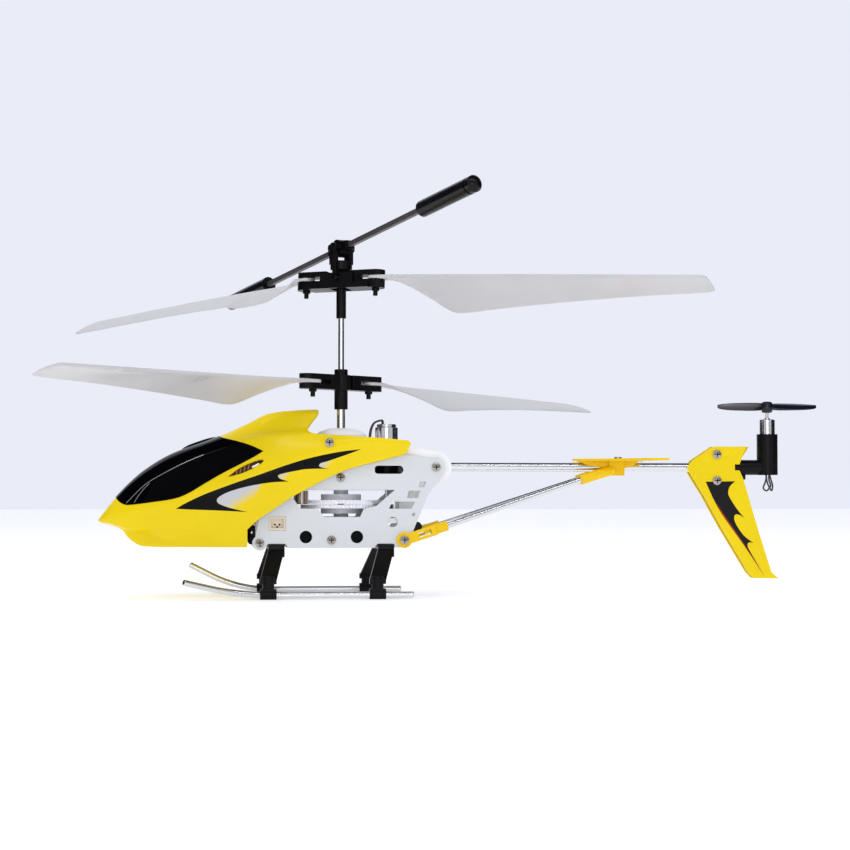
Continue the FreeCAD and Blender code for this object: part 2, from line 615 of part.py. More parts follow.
def inside_parts():
    pins = [rod((x, -9.0, 18.2), (x, -4.6, 18.2), 0.25) for x in (-17.6, -15.9)]
    socket = box(-18.9, -14.6, -9.3, -4.4, 17.1, 20.6).cut(box(-18.3, -15.2, -9.4, -5.4, 17.7, 20.0))
    board = box(-45.0, -22.5, -6.3, 6.3, 20.2, 21.2)
    chips = [box(-41, -36, -2.5, 2.5, 21.2, 22.2), box(-32, -28, -4.5, -1.0, 21.2, 22.4),
             box(-32, -28.5, 1.0, 4.5, 21.2, 22.6)]
    switch = box(-31.0, -24.0, -2.0, 2.0, 14.6, 18.9).cut(box(-29.6, -25.4, -0.9, 0.9, 14.0, 16.2))
    slider = join([box(-29.3, -27.7, -0.8, 0.8, 12.9, 15.2), box(-29.4, -27.4, -0.8, 0.8, 15.0, 16.1)])
    light = join([disc(0, 0, 0, 3.0, 1.5), Part.makeSphere(1.5, V(0, 0, 3.0))])
    light = moved(turned(light, -90, Y_AXIS), -46.3, 0, 21.0)
    return {
        "battery": box(-13.0, 8.2, -7.1, 7.1, 13.4, 17.7),
        "battery_cover": box(-14.3, 8.3, -y_inside(), y_inside(), 12.7, 13.2),
        "circuit_board": join([board] + chips),
        "nose_light": light,
        "charge_socket": join([socket] + pins),
        "power_switch_body": switch,
        "power_switch_slider": slider,
        "lower_spacer": rod((18.9, -8.6, 17.9), (18.9, 8.6, 17.9), 1.4),
    }


def y_inside():
    return PLATE_Y - PLATE_T - 0.1


# ---- canopy -------------------------------------------------------------------------
CANOPY_WALL = 0.8

# Half sections of the canopy from nose to tail: station, then (half width, height) of the
# centre line, roof shoulder, brow, widest point, lower crease and bottom edge.
CANOPY_SECTIONS = (
    (-62.4, (0, 20.3), (1.2, 20.2), (2.2, 20.0), (3.0, 19.6), (2.6, 19.1), (1.4, 18.9)),
    (-59.0, (0, 24.3), (2.6, 24.0), (4.6, 22.8), (6.0, 20.9), (5.4, 18.9), (3.4, 18.2)),
    (-54.6, (0, 29.0), (3.8, 28.5), (6.8, 26.2), (8.6, 22.4), (7.9, 17.4), (5.6, 15.2)),
    (-50.6, (0, 32.5), (4.6, 31.9), (8.2, 29.0), (10.1, 23.6), (9.4, 16.4), (7.2, 13.1)),
    (-44.0, (0, 36.5), (5.2, 35.9), (9.4, 32.6), (11.6, 25.4), (10.7, 17.0), (8.6, 12.9)),
    (-34.0, (0, 40.3), (5.6, 39.8), (10.2, 36.4), (12.8, 28.0), (11.9, 19.0), (10.0, 12.9)),
    (-24.0, (0, 44.2), (5.4, 43.6), (9.8, 40.2), (13.0, 31.5), (12.4, 20.5), (11.0, 12.9)),
    (-15.0, (0, 47.1), (4.6, 46.6), (9.0, 42.2), (12.6, 34.5), (12.2, 25.0), (11.6, 12.9)),
    (-6.4, (0, 48.1), (4.2, 47.6), (8.8, 43.4), (11.9, 37.4), (11.8, 31.0), (11.5, 12.9)),
    (4.0, (0, 48.1), (4.2, 47.6), (9.0, 44.0), (11.4, 40.0), (11.4, 33.0), (11.2, 12.9)),
    (17.8, (0, 48.1), (4.2, 47.6), (9.0, 44.0), (11.2, 39.6), (11.2, 36.0), (11.0, 12.9)))


def canopy_body(inset, first, last):
    """The canopy's full outer form, drawn in by inset all round."""
    wires = []
    for station, *half in CANOPY_SECTIONS:
        middle = (half[0][1] + half[-1][1]) / 2
        tall = (half[0][1] - half[-1][1]) / 2
        wide = max(y for y, z in half)
        shrink_y = (wide - inset) / wide
        shrink_z = (tall - inset) / tall if tall > 2 * inset else 0.3
        ring = [(y * shrink_y, middle + (z - middle) * shrink_z) for y, z in half]
        x = station
        if station == CANOPY_SECTIONS[0][0]:
            x = station + first * inset
        if station == CANOPY_SECTIONS[-1][0]:
            x = station + last * inset
        points = [V(x, y, z) for y, z in ring]
        points += [V(x, -y, z) for y, z in reversed(ring[1:])]
        wires.append(polygon(points))
    return Part.makeLoft(wires, True, True)


def canopy():
    skirt = prism_xz([(-24.4, 0), (-24.4, 17.9), (-21.6, 20.0), (-13.1, 25.7), (-8.5, 28.2), (0.4, 32.5),
                      (7.3, 34.5), (15.4, 36.6), (17.0, 37.9), (17.3, 39.3), (30, 39.4), (30, 0)], -20, 20)
    roof = prism_xz([(-6.4, 60), (-6.4, 48.6), (-8.7, 43.0), (-7.3, 41.8), (8.9, 40.8), (30, 39.6), (30, 60)],
                    -20, 20)
    shell = canopy_body(0, 0, 0).cut(canopy_body(CANOPY_WALL, 2, 4))
    shell = shell.cut(skirt).cut(roof)
    shell = shell.cut(box(-24.4, 30, -10.35, 10.35, 0, 40.2))
    shell = shell.cut(box(-8.6, 30, -10.35, 10.35, 0, 60))
    glass_edge = prism_xz([
        (-59.5, 30), (-57.6, 25.6), (-55.1, 23.6), (-49.3, 23.7), (-42.4, 25.1), (-37.0, 27.9), (-33.2, 30.6),
        (-27.4, 33.9), (-20.4, 37.2), (-23.9, 38.7), (-30.5, 40.5), (-31.7, 44), (-50, 44)], -20, 20)
    skin = canopy_body(0, 0, 0).cut(canopy_body(0.45, 2, 4))
    glass = skin.common(glass_edge)
    shell = shell.cut(glass)
    vent = prism_xz([(-29.2, 30.6), (-25.5, 33.5), (-21.0, 35.1), (-20.4, 34.8), (-23.2, 32.9),
                     (-27.0, 31.0)], -20, 20)
    shell = shell.cut(vent)
    slots = screw_hole(*CANOPY_SCREW)
    slider_slot = box(-29.8, -25.2, -1.1, 1.1, 10, 15)
    shell = shell.cut(slots).cut(slider_slot)
    band = canopy_body(CANOPY_WALL, 2, 4).cut(canopy_body(CANOPY_WALL + 0.5, 2, 4))
    backing = prism_xz([(-29.9, 30.0), (-25.5, 34.2), (-20.6, 35.6), (-19.8, 34.6), (-23.2, 32.2),
                        (-27.4, 30.2)], -20, 20)
    return {
        "canopy_shell": largest(shell),
        "windshield": largest(glass),
        "vent_grilles": Part.makeCompound(band.common(backing).Solids),
    }


def largest(shape):
    return max(shape.Solids, key=lambda solid: solid.Volume)


# ---- landing gear -------------------------------------------------------------------
LEG_STATIONS = ((-19.0, -14.9, -21.3, -17.2), (8.9, 13.0, 6.1, 10.2))


def leg_frame(top_front, top_rear, foot_front, foot_rear):
    y = PLATE_Y + 0.4
    middle = (top_front + top_rear) / 2
    parts = [box(top_front, top_rear, -y, y, 12.3, 13.5), box(middle - 0.8, middle + 0.8, -2, 2, 13.5, 18.9)]
    foot_x = (foot_front + foot_rear) / 2
    for side in SIDES:
        low = min(side * y, side * (y - 1.5))
        parts.append(box(top_rear - 1.1, top_rear, low, low + 1.5, 10.3, 12.3))
        top = polygon([V(top_front, side * (y - 1.9), 12.3), V(top_rear, side * (y - 1.9), 12.3),
                       V(top_rear, side * y, 12.3), V(top_front, side * y, 12.3)])
        knee = polygon([V(foot_front, side * (SKID_Y - 1.3), 4.6), V(foot_rear, side * (SKID_Y - 1.3), 4.6),
                        V(foot_rear, side * (SKID_Y + 0.7), 4.6), V(foot_front, side * (SKID_Y + 0.7), 4.6)])
        parts.append(Part.makeLoft([top, knee], True, True))
        parts.append(box(foot_front, foot_rear, side * SKID_Y - 1.0, side * SKID_Y + 1.0, 3.8, 5.2))
        parts.append(disc(foot_x, side * SKID_Y, 2.6, 5.7, 1.5))
    return join(parts)


def skid_rod(side, roll):
    """A straight runner whose front end bends up, rolled about its own axis by roll degrees."""
    bend_start = -17.5
    bend_r = 35.6
    bend = math.radians(27)
    knee = V(bend_start - bend_r * math.sin(bend / 2), 0, bend_r * (1 - math.cos(bend / 2)))
    finish = V(bend_start - bend_r * math.sin(bend), 0, bend_r * (1 - math.cos(bend)))
    straight = 7.4 if side == LEFT else 6.0
    tip = finish + V(-straight * math.cos(bend), 0, straight * math.sin(bend))
    start = V(17.3, 0, 0)
    path = Part.Wire([
        Part.LineSegment(start, V(bend_start, 0, 0)).toShape(),
        Part.Arc(V(bend_start, 0, 0), knee, finish).toShape(),
        Part.LineSegment(finish, tip).toShape()])
    section = Part.Wire(Part.Circle(start, X_AXIS, ROD_R).toShape())
    solid = path.makePipeShell([section], True, True)
    solid = turned(solid, roll, X_AXIS)
    return moved(solid, 0, side * SKID_Y, SKID_Z)


def landing_gear():
    rods = {LEFT: skid_rod(LEFT, 61), RIGHT: skid_rod(RIGHT, 0)}
    clips = []
    for top_front, top_rear, foot_front, foot_rear in LEG_STATIONS:
        for side in SIDES:
            y = side * SKID_Y
            clip = join([
                rod((foot_front, y, 1.3), (foot_rear, y, 1.3), 1.3),
                box(foot_front, foot_rear, y - 1.1, y + 1.1, 1.3, 2.6),
                box(foot_front, foot_rear, y - 0.8, y + 0.8, 0, 1.3)])
            clips.append(clip.cut(rods[side]))
    return {
        "leg_frames": Part.makeCompound([leg_frame(*sizes) for sizes in LEG_STATIONS]),
        "skid_clips": Part.makeCompound(clips),
        "skid_rods": Part.makeCompound([rods[LEFT], rods[RIGHT]]),
    }


# ---- tail ---------------------------------------------------------------------------
STRUT_REAR = V(65.5, -2.7, 31.0)
STRUT_EYE = V(STRUT_SCREW[0], -PLATE_Y - 0.5, STRUT_SCREW[1])


def along_strut(distance):
    run = STRUT_REAR - STRUT_EYE
    run.normalize()
    return STRUT_EYE + run * distance


def strut():
    start = along_strut(8.5)
    end = along_strut(52.5)
    return Part.makeCylinder(STRUT_R, (end - start).Length, start, end - start)


def strut_clip():
    eye = rod((STRUT_EYE.x, -PLATE_Y - 1.0, STRUT_EYE.z), (STRUT_EYE.x, -PLATE_Y, STRUT_EYE.z), 2.0)
    run = STRUT_REAR - STRUT_EYE
    run.normalize()
    pitch = math.degrees(math.asin(run.z))
    bar = box(1.2, 8.6, -0.5, 0.5, -1.35, 1.35).cut(box(3.9, 7.3, -2, 2, -0.6, 0.6))
    bar = turned(bar, -pitch, Y_AXIS)
    bar = moved(bar, STRUT_EYE.x, -PLATE_Y - 0.5, STRUT_EYE.z)
    cup_start = along_strut(7.4)
    cup = Part.makeCylinder(STRUT_SOCKET_R, 4.4, cup_start, run)
    return join([eye, bar, cup]).cut(screw_hole(*STRUT_SCREW)).cut(strut())


def strut_bracket():
    block = box(70.3, 74.3, -2.2, 2.2, 31.2, 35.0)
    parts = [block]
    for side in SIDES:
        near = V(STRUT_REAR.x, side * 2.7, STRUT_REAR.z)
        foot = along_strut(49.8)
        foot = V(foot.x, -side * foot.y, foot.z)
        run = near - foot
        socket = Part.makeCylinder(STRUT_SOCKET_R, 3.7, foot, run)
        arm = rod((near.x, near.y, near.z), (71.3, side * 1.6, 32.7), 1.3)
        parts.append(socket)
        parts.append(arm)
    bracket = join(parts)
    bracket = bracket.cut(rod((50, 0, BOOM_Z), (90, 0, BOOM_Z), BOOM_R))
    return bracket.cut(strut()).cut(mirrored(strut())).cut(disc(73.0, 0, 34.7, 36, 0.5))


def fin(side):
    outline = [(91.0, 33.3), (92.6, 35.2), (97.0, 38.1), (98.2, 38.9), (107.0, 38.9), (104.9, 33.3),
               (106.1, 30.7), (108.1, 24.0), (110.3, 16.5), (113.7, 5.8), (115.6, 4.1), (108.9, 4.2),
               (107.4, 5.8), (100.3, 17.5), (95.5, 26.1)]
    if side == RIGHT:
        outline[4] = (108.6, 38.9)
    low = -1.9 if side == LEFT else 1.3
    sheet = prism_xz(outline, low, low + 0.6)
    parts = [sheet]
    boss_low = -1.3 if side == LEFT else 0.0
    for z in (BOOM_Z + 3.4, BOOM_Z - 3.5):
        parts.append(rod((99.1, boss_low, z), (99.1, boss_low + 1.3, z), 1.3))
    half = join(parts)
    arm = rod((TAIL_ARM_START - 0.05, 0, BOOM_Z), (112, 0, BOOM_Z), TAIL_ARM_R + 0.05)
    for z in (BOOM_Z + 3.4, BOOM_Z - 3.5):
        half = half.cut(rod((99.1, -3, z), (99.1, 3, z), SCREW_R + 0.05))
    return half.cut(arm)


def stabiliser():
    wing = [(61.0, -0.8), (70.0, -6.0), (77.4, -14.6), (79.8, -16.0), (83.1, -16.4), (82.0, -12.0),
            (79.0, -4.0), (78.4, 0)]
    points = wing + [(x, -y) for x, y in reversed(wing[:-1])]
    keel = prism_xz([(62.0, 35.0), (65.0, 33.8), (69.0, 33.2), (74.8, 33.2), (77.0, 34.0), (78.2, 35.0)], -1.7, 1.7)
    keel = keel.cut(rod((50, 0, BOOM_Z), (90, 0, BOOM_Z), BOOM_R)).cut(strut_bracket())
    return join([prism_xy(points, 35.0, 35.6), keel]).cut(disc(73.0, 0, 34, 37, 0.5))


def tail():
    x = TAIL_ROTOR_X
    mount = join([
        rod((TAIL_ARM_START, 0, BOOM_Z), (x - 1, 0, BOOM_Z), TAIL_ARM_R),
        disc(x, 0, 31.4, 42.2, TAIL_SLEEVE_R),
        box(105.7, 107.1, -0.8, 0.8, 30.2, 31.8)])
    mount = mount.cut(disc(x, 0, 35.6, 43, TAIL_MOTOR_R)).cut(disc(x - 0.3, 0, 30, 36, 1.4))
    mount = mount.cut(rod((100, 0, BOOM_Z), (BOOM_END, 0, BOOM_Z), BOOM_R))
    mount = mount.cut(rod((BOOM_END - 1, 0, BOOM_Z), (x, 0, BOOM_Z), BOOM_BORE_R))
    mount = mount.cut(rod((x - 3.6, 0, BOOM_Z), (x - 0.2, 0, BOOM_Z - 2.0), BOOM_BORE_R))
    motor_can = join([disc(x, 0, 35.6, 46.1, TAIL_MOTOR_R), disc(x, 0, 46.1, 46.5, 0.8)])
    motor_can = motor_can.cut(disc(x, 0, 42, 47, 0.45))
    boom = rod((BOOM_START, 0, BOOM_Z), (BOOM_END, 0, BOOM_Z), BOOM_R)
    boom = boom.cut(rod((BOOM_START - 1, 0, BOOM_Z), (BOOM_END + 1, 0, BOOM_Z), BOOM_BORE_R))
    leads = []
    for side in SIDES:
        leads.append(wire_tube([
            (BOOM_START - 2, 0.4 * side, BOOM_Z), (50, 0.4 * side, BOOM_Z), (80, 0.45 * side, BOOM_Z),
            (x - 3.0, 0.4 * side, BOOM_Z), (x - 0.2, 0.45 * side, BOOM_Z - 1.6),
            (x - 0.3 + 0.3 * side, 0.5 * side, 29.6), (x - 0.3 + 1.1 * side, 0.5 * side, 27.9),
            (x + 0.5 + 0.9 * side, 0.7 * side, 27.0), (x + 1.3 + 0.4 * side, 0.7 * side, 28.6),
            (x + 0.7 + 0.5 * side, 0.6 * side, 30.0), (x + 0.45, 0.45 * side, 32.6),
            (x + 0.35, 0.45 * side, 35.6)], TAIL_LEAD_R))
    clips = strut_clip()
    return {
        "tail_boom": boom,
        "tail_leads": Part.makeCompound(leads),
        "struts": Part.makeCompound([strut(), mirrored(strut())]),
        "strut_clips": Part.makeCompound([clips, mirrored(clips)]),
        "strut_bracket": strut_bracket(),
        "stabiliser": stabiliser(),
        "stabiliser_pin": join([disc(73.0, 0, 34.7, 35.6, 0.5), disc(73.0, 0, 35.6, 36.1, 1.0)]),
        "fin_left": fin(LEFT),
        "fin_right": fin(RIGHT),
        "tail_motor_mount": mount,
        "tail_motor": motor_can,
        "tail_motor_shaft": disc(x, 0, 42.1, 50.9, 0.4),
    }


def tail_rotor():
    """Two-bladed tail rotor, its blades twisted, turning about an upright axis."""
    x = TAIL_ROTOR_X
    parts = [disc(x, 0, 47.9, 50.9, 1.45)]
    for turn in (0, 180):
        wires = []
        for reach, front, back, pitch in ((0.8, 1.1, -1.1, 35), (3.5, 1.5, -1.6, 32), (8.0, 1.7, -1.9, 25),
                                          (11.5, 1.4, -1.6, 19), (13.3, 0.5, -0.6, 16)):
            c = math.cos(math.radians(pitch))
            s = math.sin(math.radians(pitch))
            wires.append(polygon([
                V(reach, front * c, front * s + 0.25), V(reach, back * c, back * s + 0.25),
                V(reach, back * c, back * s - 0.25), V(reach, front * c, front * s - 0.25)]))
        parts.append(moved(turned(Part.makeLoft(wires, True, True), turn), x, 0, 49.7))
    return {"tail_rotor": join(parts).cut(disc(x, 0, 40, 50.9, 0.4))}


# ---- the whole model ----------------------------------------------------------------
def model():
    plate = side_plate()
    nodes = {
        "side_plate_left": plate,
        "side_plate_right": mirrored(plate),
        "main_frame": main_frame(),
        "body_screws": body_screws(),
    }
    for group in (canopy(), inside_parts(), motors(), gears(), shafts(), lower_rotor(), upper_rotor(),
                  rotor_head(), flybar(), links(), landing_gear(), tail(), tail_rotor()):
        nodes.update(group)
    return nodes


def main():
    os.makedirs("parts", exist_ok=True)
    whole = FreeCAD.BoundBox()
    nodes = model()
    for name, shape in sorted(nodes.items()):
        shape = moved(shape, MAST_X, MAST_Y, 0)
        whole.add(shape.BoundBox)
        shape.exportStep("parts/" + name + ".step")
        flags = "" if shape.isValid() else "  NOT VALID"
        print(f"{name:22s} {len(shape.Solids):3d} solids {shape.Volume:10.2f} mm3{flags}")
    print(len(nodes), "nodes; size", round(whole.XLength, 2), round(whole.YLength, 2), round(whole.ZLength, 2))
    print("centre", round(whole.Center.x, 3), round(whole.Center.y, 3), "lowest", round(whole.ZMin, 3))


main()
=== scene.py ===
"""Finished look of the toy helicopter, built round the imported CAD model.

Shapes are drawn in millimetres from the mast axis, as the CAD is: +X to the tail,
+Y to the model's right side, +Z up from the ground.
"""
import json
import math

import bmesh
import bpy
import numpy as np
from mathutils import Matrix, Vector, geometry

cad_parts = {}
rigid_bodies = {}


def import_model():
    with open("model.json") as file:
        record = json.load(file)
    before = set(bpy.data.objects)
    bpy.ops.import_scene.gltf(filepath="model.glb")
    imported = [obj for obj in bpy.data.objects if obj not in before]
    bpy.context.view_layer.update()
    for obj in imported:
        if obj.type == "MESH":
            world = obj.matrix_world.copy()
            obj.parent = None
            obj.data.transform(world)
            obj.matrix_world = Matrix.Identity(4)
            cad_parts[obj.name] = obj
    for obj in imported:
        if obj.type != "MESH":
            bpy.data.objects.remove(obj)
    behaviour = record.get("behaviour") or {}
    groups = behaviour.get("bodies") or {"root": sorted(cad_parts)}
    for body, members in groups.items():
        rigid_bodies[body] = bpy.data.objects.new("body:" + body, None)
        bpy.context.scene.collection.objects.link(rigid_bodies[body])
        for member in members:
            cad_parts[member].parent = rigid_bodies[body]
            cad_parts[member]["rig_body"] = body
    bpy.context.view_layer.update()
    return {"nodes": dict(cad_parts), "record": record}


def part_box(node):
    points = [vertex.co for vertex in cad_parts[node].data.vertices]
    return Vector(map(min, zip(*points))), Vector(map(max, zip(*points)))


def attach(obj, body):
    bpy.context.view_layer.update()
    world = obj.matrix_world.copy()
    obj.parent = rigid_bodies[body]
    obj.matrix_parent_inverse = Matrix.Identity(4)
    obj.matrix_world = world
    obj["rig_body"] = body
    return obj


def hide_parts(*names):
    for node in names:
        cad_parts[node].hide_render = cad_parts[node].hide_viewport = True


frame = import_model()

MM = 0.001
JOINTS = {joint["name"]: joint for joint in frame["record"]["behaviour"]["joints"]}
MAST = Vector(JOINTS["lower_rotor_spin"]["pos_m"][:2] + [0.0])
TO_SCENE = Matrix.Translation(MAST) @ Matrix.Scale(MM, 4)
SIDES = (-1, 1)         # the model's left and right


# ---- camera, stage and light --------------------------------------------------------
CAMERA_PLACE = (-34.71, -538.97, 25.43)     # millimetres from the mast
CAMERA_TURN = (92.0, 0.0, -6.0)             # degrees
CAMERA_LENS = 88.05
CAMERA_SENSOR = 36.0
CAMERA_NEAR = 0.01
ROOM_FRONT = (0.54, 0.55, 0.58, 1)          # the room's colour behind the camera
ROOM_BACK = (0.82, 0.845, 0.93, 1)          # and behind the model
ROOM_BACK_FROM = 0.75
FLOOR_SIZE = 8.0
FLOOR_DROP = 0.00005                        # the floor lies this far under the skids
FLOOR_COLOUR = (0.90, 0.90, 0.91)
FLOOR_GLOW = 0.25
CARD_BLACK = (0.004, 0.004, 0.005)
LIGHTS = (
    # name, place, aimed at, size, power, seen in reflections
    ("key", (-0.45, -0.75, 0.75), (0, 0, 0.03), (0.7, 0.5), 1.25, False),
    ("fill", (0.7, -0.8, 0.35), (0, 0, 0.04), (0.5, 0.8), 0.4, False),
    ("front", (-0.1, -1.3, 0.20), (0, 0, 0.03), (0.5, 0.3), 1.2, True),
    ("strip", (-0.1, -0.55, 0.85), (0, 0, 0.03), (1.4, 0.05), 2.0, True),
    ("top", (0.0, 0.25, 0.9), (0, 0, 0.03), (1.2, 0.4), 1.4, False))
FLAGS = (
    # name, place, aimed at, size
    ("flag_left", (-0.45, 0.2, 0.5), (0.0, 0.2, 0.5), (1.0, 1.1)),
    ("flag_right", (0.45, 0.2, 0.5), (0.0, 0.2, 0.5), (1.0, 1.1)),
    ("flag_above", (0.0, 0.05, 0.8), (0.0, 0.05, 0.0), (1.0, 0.9)))


def aimed(name, data, where, target):
    """A new object whose face looks at the target."""
    obj = bpy.data.objects.new(name, data)
    obj.location = where
    way = Vector(target) - Vector(where)
    obj.rotation_euler = way.to_track_quat("-Z", "Y").to_euler()
    bpy.context.scene.collection.objects.link(obj)
    return obj


def rectangle(name, width, height):
    mesh = bpy.data.meshes.new(name)
    w, h = width / 2, height / 2
    mesh.from_pydata([(-w, -h, 0), (w, -h, 0), (w, h, 0), (-w, h, 0)], [], [(0, 1, 2, 3)])
    return mesh


def stage_material(name, colour, roughness, glow=0.0):
    mat = bpy.data.materials.new(name)
    mat.use_nodes = True
    bsdf = mat.node_tree.nodes["Principled BSDF"]
    bsdf.inputs["Base Color"].default_value = (*colour, 1)
    bsdf.inputs["Roughness"].default_value = roughness
    bsdf.inputs["Emission Color"].default_value = (1, 1, 1, 1)
    bsdf.inputs["Emission Strength"].default_value = glow
    return mat


def camera():
    scene = bpy.context.scene
    data = bpy.data.cameras.new("camera")
    data.sensor_width = CAMERA_SENSOR
    data.lens = CAMERA_LENS
    data.clip_start = CAMERA_NEAR
    scene.camera = bpy.data.objects.new("camera", data)
    scene.camera.location = TO_SCENE @ Vector(CAMERA_PLACE)
    scene.camera.rotation_euler = [math.radians(angle) for angle in CAMERA_TURN]
    scene.collection.objects.link(scene.camera)
    scene.view_settings.view_transform = "Standard"


def room():
    """A pale surround, brighter behind the model than behind the camera."""
    world = bpy.data.worlds.new("pale_room")
    world.use_nodes = True
    tree = world.node_tree
    direction = tree.nodes.new("ShaderNodeTexCoord")
    parts = tree.nodes.new("ShaderNodeSeparateXYZ")
    tree.links.new(direction.outputs["Generated"], parts.inputs["Vector"])
    ramp = tree.nodes.new("ShaderNodeValToRGB")
    ramp.color_ramp.elements[0].color = ROOM_FRONT
    ramp.color_ramp.elements[1].position = ROOM_BACK_FROM
    ramp.color_ramp.elements[1].color = ROOM_BACK
    turn = tree.nodes.new("ShaderNodeMapRange")
    turn.inputs["From Min"].default_value = -1.0
    tree.links.new(parts.outputs["Y"], turn.inputs["Value"])
    tree.links.new(turn.outputs["Result"], ramp.inputs["Fac"])
    tree.links.new(ramp.outputs["Color"], tree.nodes["Background"].inputs["Color"])
    bpy.context.scene.world = world


def stage():
    """Floor, area lights, and black cards that give the bright metal its dark edges."""
    floor = bpy.data.objects.new("floor", rectangle("floor", FLOOR_SIZE, FLOOR_SIZE))
    floor.location.z = -FLOOR_DROP
    floor.data.materials.append(stage_material("pale_floor", FLOOR_COLOUR, 0.7, FLOOR_GLOW))
    bpy.context.scene.collection.objects.link(floor)
    for name, where, target, size, power, glossy in LIGHTS:
        data = bpy.data.lights.new(name, "AREA")
        data.shape = "RECTANGLE"
        data.size, data.size_y = size
        data.energy = power
        light = aimed(name, data, where, target)
        light.visible_camera = False
        light.visible_glossy = glossy
    black = stage_material("stage_black", CARD_BLACK, 0.9)
    for name, where, target, size in FLAGS:
        card = aimed(name, rectangle(name, *size), where, target)
        card.data.materials.append(black)
        card.visible_camera = False
        card.visible_shadow = False
        card.visible_diffuse = False
        card.visible_transmission = False


# ---- materials ----------------------------------------------------------------------
def material(name, colour, roughness, metallic=0.0, vary=0.04, rough_vary=0.06, scale=60.0,
             bump=0.02, bump_scale=900.0, stretch=(1, 1, 1), sockets=()):
    """A moulded or machined finish: mottled colour, uneven gloss and fine surface relief."""
    mat = bpy.data.materials.new(name)
    mat.use_nodes = True
    tree = mat.node_tree
    bsdf = tree.nodes["Principled BSDF"]
    coords = tree.nodes.new("ShaderNodeTexCoord")
    mapping = tree.nodes.new("ShaderNodeMapping")
    mapping.inputs["Scale"].default_value = stretch
    tree.links.new(coords.outputs["Object"], mapping.inputs["Vector"])

    clouds = tree.nodes.new("ShaderNodeTexNoise")
    clouds.inputs["Scale"].default_value = scale
    clouds.inputs["Detail"].default_value = 4.0
    tree.links.new(mapping.outputs["Vector"], clouds.inputs["Vector"])
    ramp = tree.nodes.new("ShaderNodeValToRGB")
    low, high = ramp.color_ramp.elements
    low.position, high.position = NOISE_SPAN
    low.color = (*[c * (1 - vary) for c in colour], 1)
    high.color = (*[min(c * (1 + vary), 1) for c in colour], 1)
    tree.links.new(clouds.outputs["Fac"], ramp.inputs["Fac"])
    tree.links.new(ramp.outputs["Color"], bsdf.inputs["Base Color"])

    gloss = tree.nodes.new("ShaderNodeMapRange")
    gloss.inputs["From Min"].default_value, gloss.inputs["From Max"].default_value = NOISE_SPAN
    gloss.inputs["To Min"].default_value = max(roughness - rough_vary, 0.02)
    gloss.inputs["To Max"].default_value = min(roughness + rough_vary, 1.0)
    tree.links.new(clouds.outputs["Fac"], gloss.inputs["Value"])
    tree.links.new(gloss.outputs["Result"], bsdf.inputs["Roughness"])

    grain = tree.nodes.new("ShaderNodeTexNoise")
    grain.inputs["Scale"].default_value = bump_scale
    grain.inputs["Detail"].default_value = 3.0
    tree.links.new(mapping.outputs["Vector"], grain.inputs["Vector"])
    relief = tree.nodes.new("ShaderNodeBump")
    relief.inputs["Strength"].default_value = bump
    relief.inputs["Distance"].default_value = RELIEF_DEPTH
    tree.links.new(grain.outputs["Fac"], relief.inputs["Height"])
    tree.links.new(relief.outputs["Normal"], bsdf.inputs["Normal"])

    bsdf.inputs["Metallic"].default_value = metallic
    for key, value in sockets:
        bsdf.inputs[key].default_value = value
    return mat


def fading_material(name, start, end, direction, first, last, roughness):
    """Paint that fades from one colour to another along a direction, in millimetres."""
    mat = material(name, end, roughness, sockets=(("Specular IOR Level", 0.2),))
    tree = mat.node_tree
    coords = tree.nodes.new("ShaderNodeTexCoord")
    along = tree.nodes.new("ShaderNodeVectorMath")
    along.operation = "DOT_PRODUCT"
    along.inputs[1].default_value = direction
    tree.links.new(coords.outputs["Object"], along.inputs[0])
    offset = Vector(direction).dot(MAST)
    fade = tree.nodes.new("ShaderNodeMapRange")
    fade.interpolation_type = "SMOOTHSTEP"
    fade.inputs["From Min"].default_value = first * MM + offset
    fade.inputs["From Max"].default_value = last * MM + offset
    tree.links.new(along.outputs["Value"], fade.inputs["Value"])
    ramp = tree.nodes.new("ShaderNodeValToRGB")
    ramp.color_ramp.elements[0].color = (*start, 1)
    ramp.color_ramp.elements[1].color = (*end, 1)
    tree.links.new(fade.outputs["Result"], ramp.inputs["Fac"])
    tree.links.new(ramp.outputs["Color"], tree.nodes["Principled BSDF"].inputs["Base Color"])
    return mat


def specular(level):
    return (("Specular IOR Level", level),)


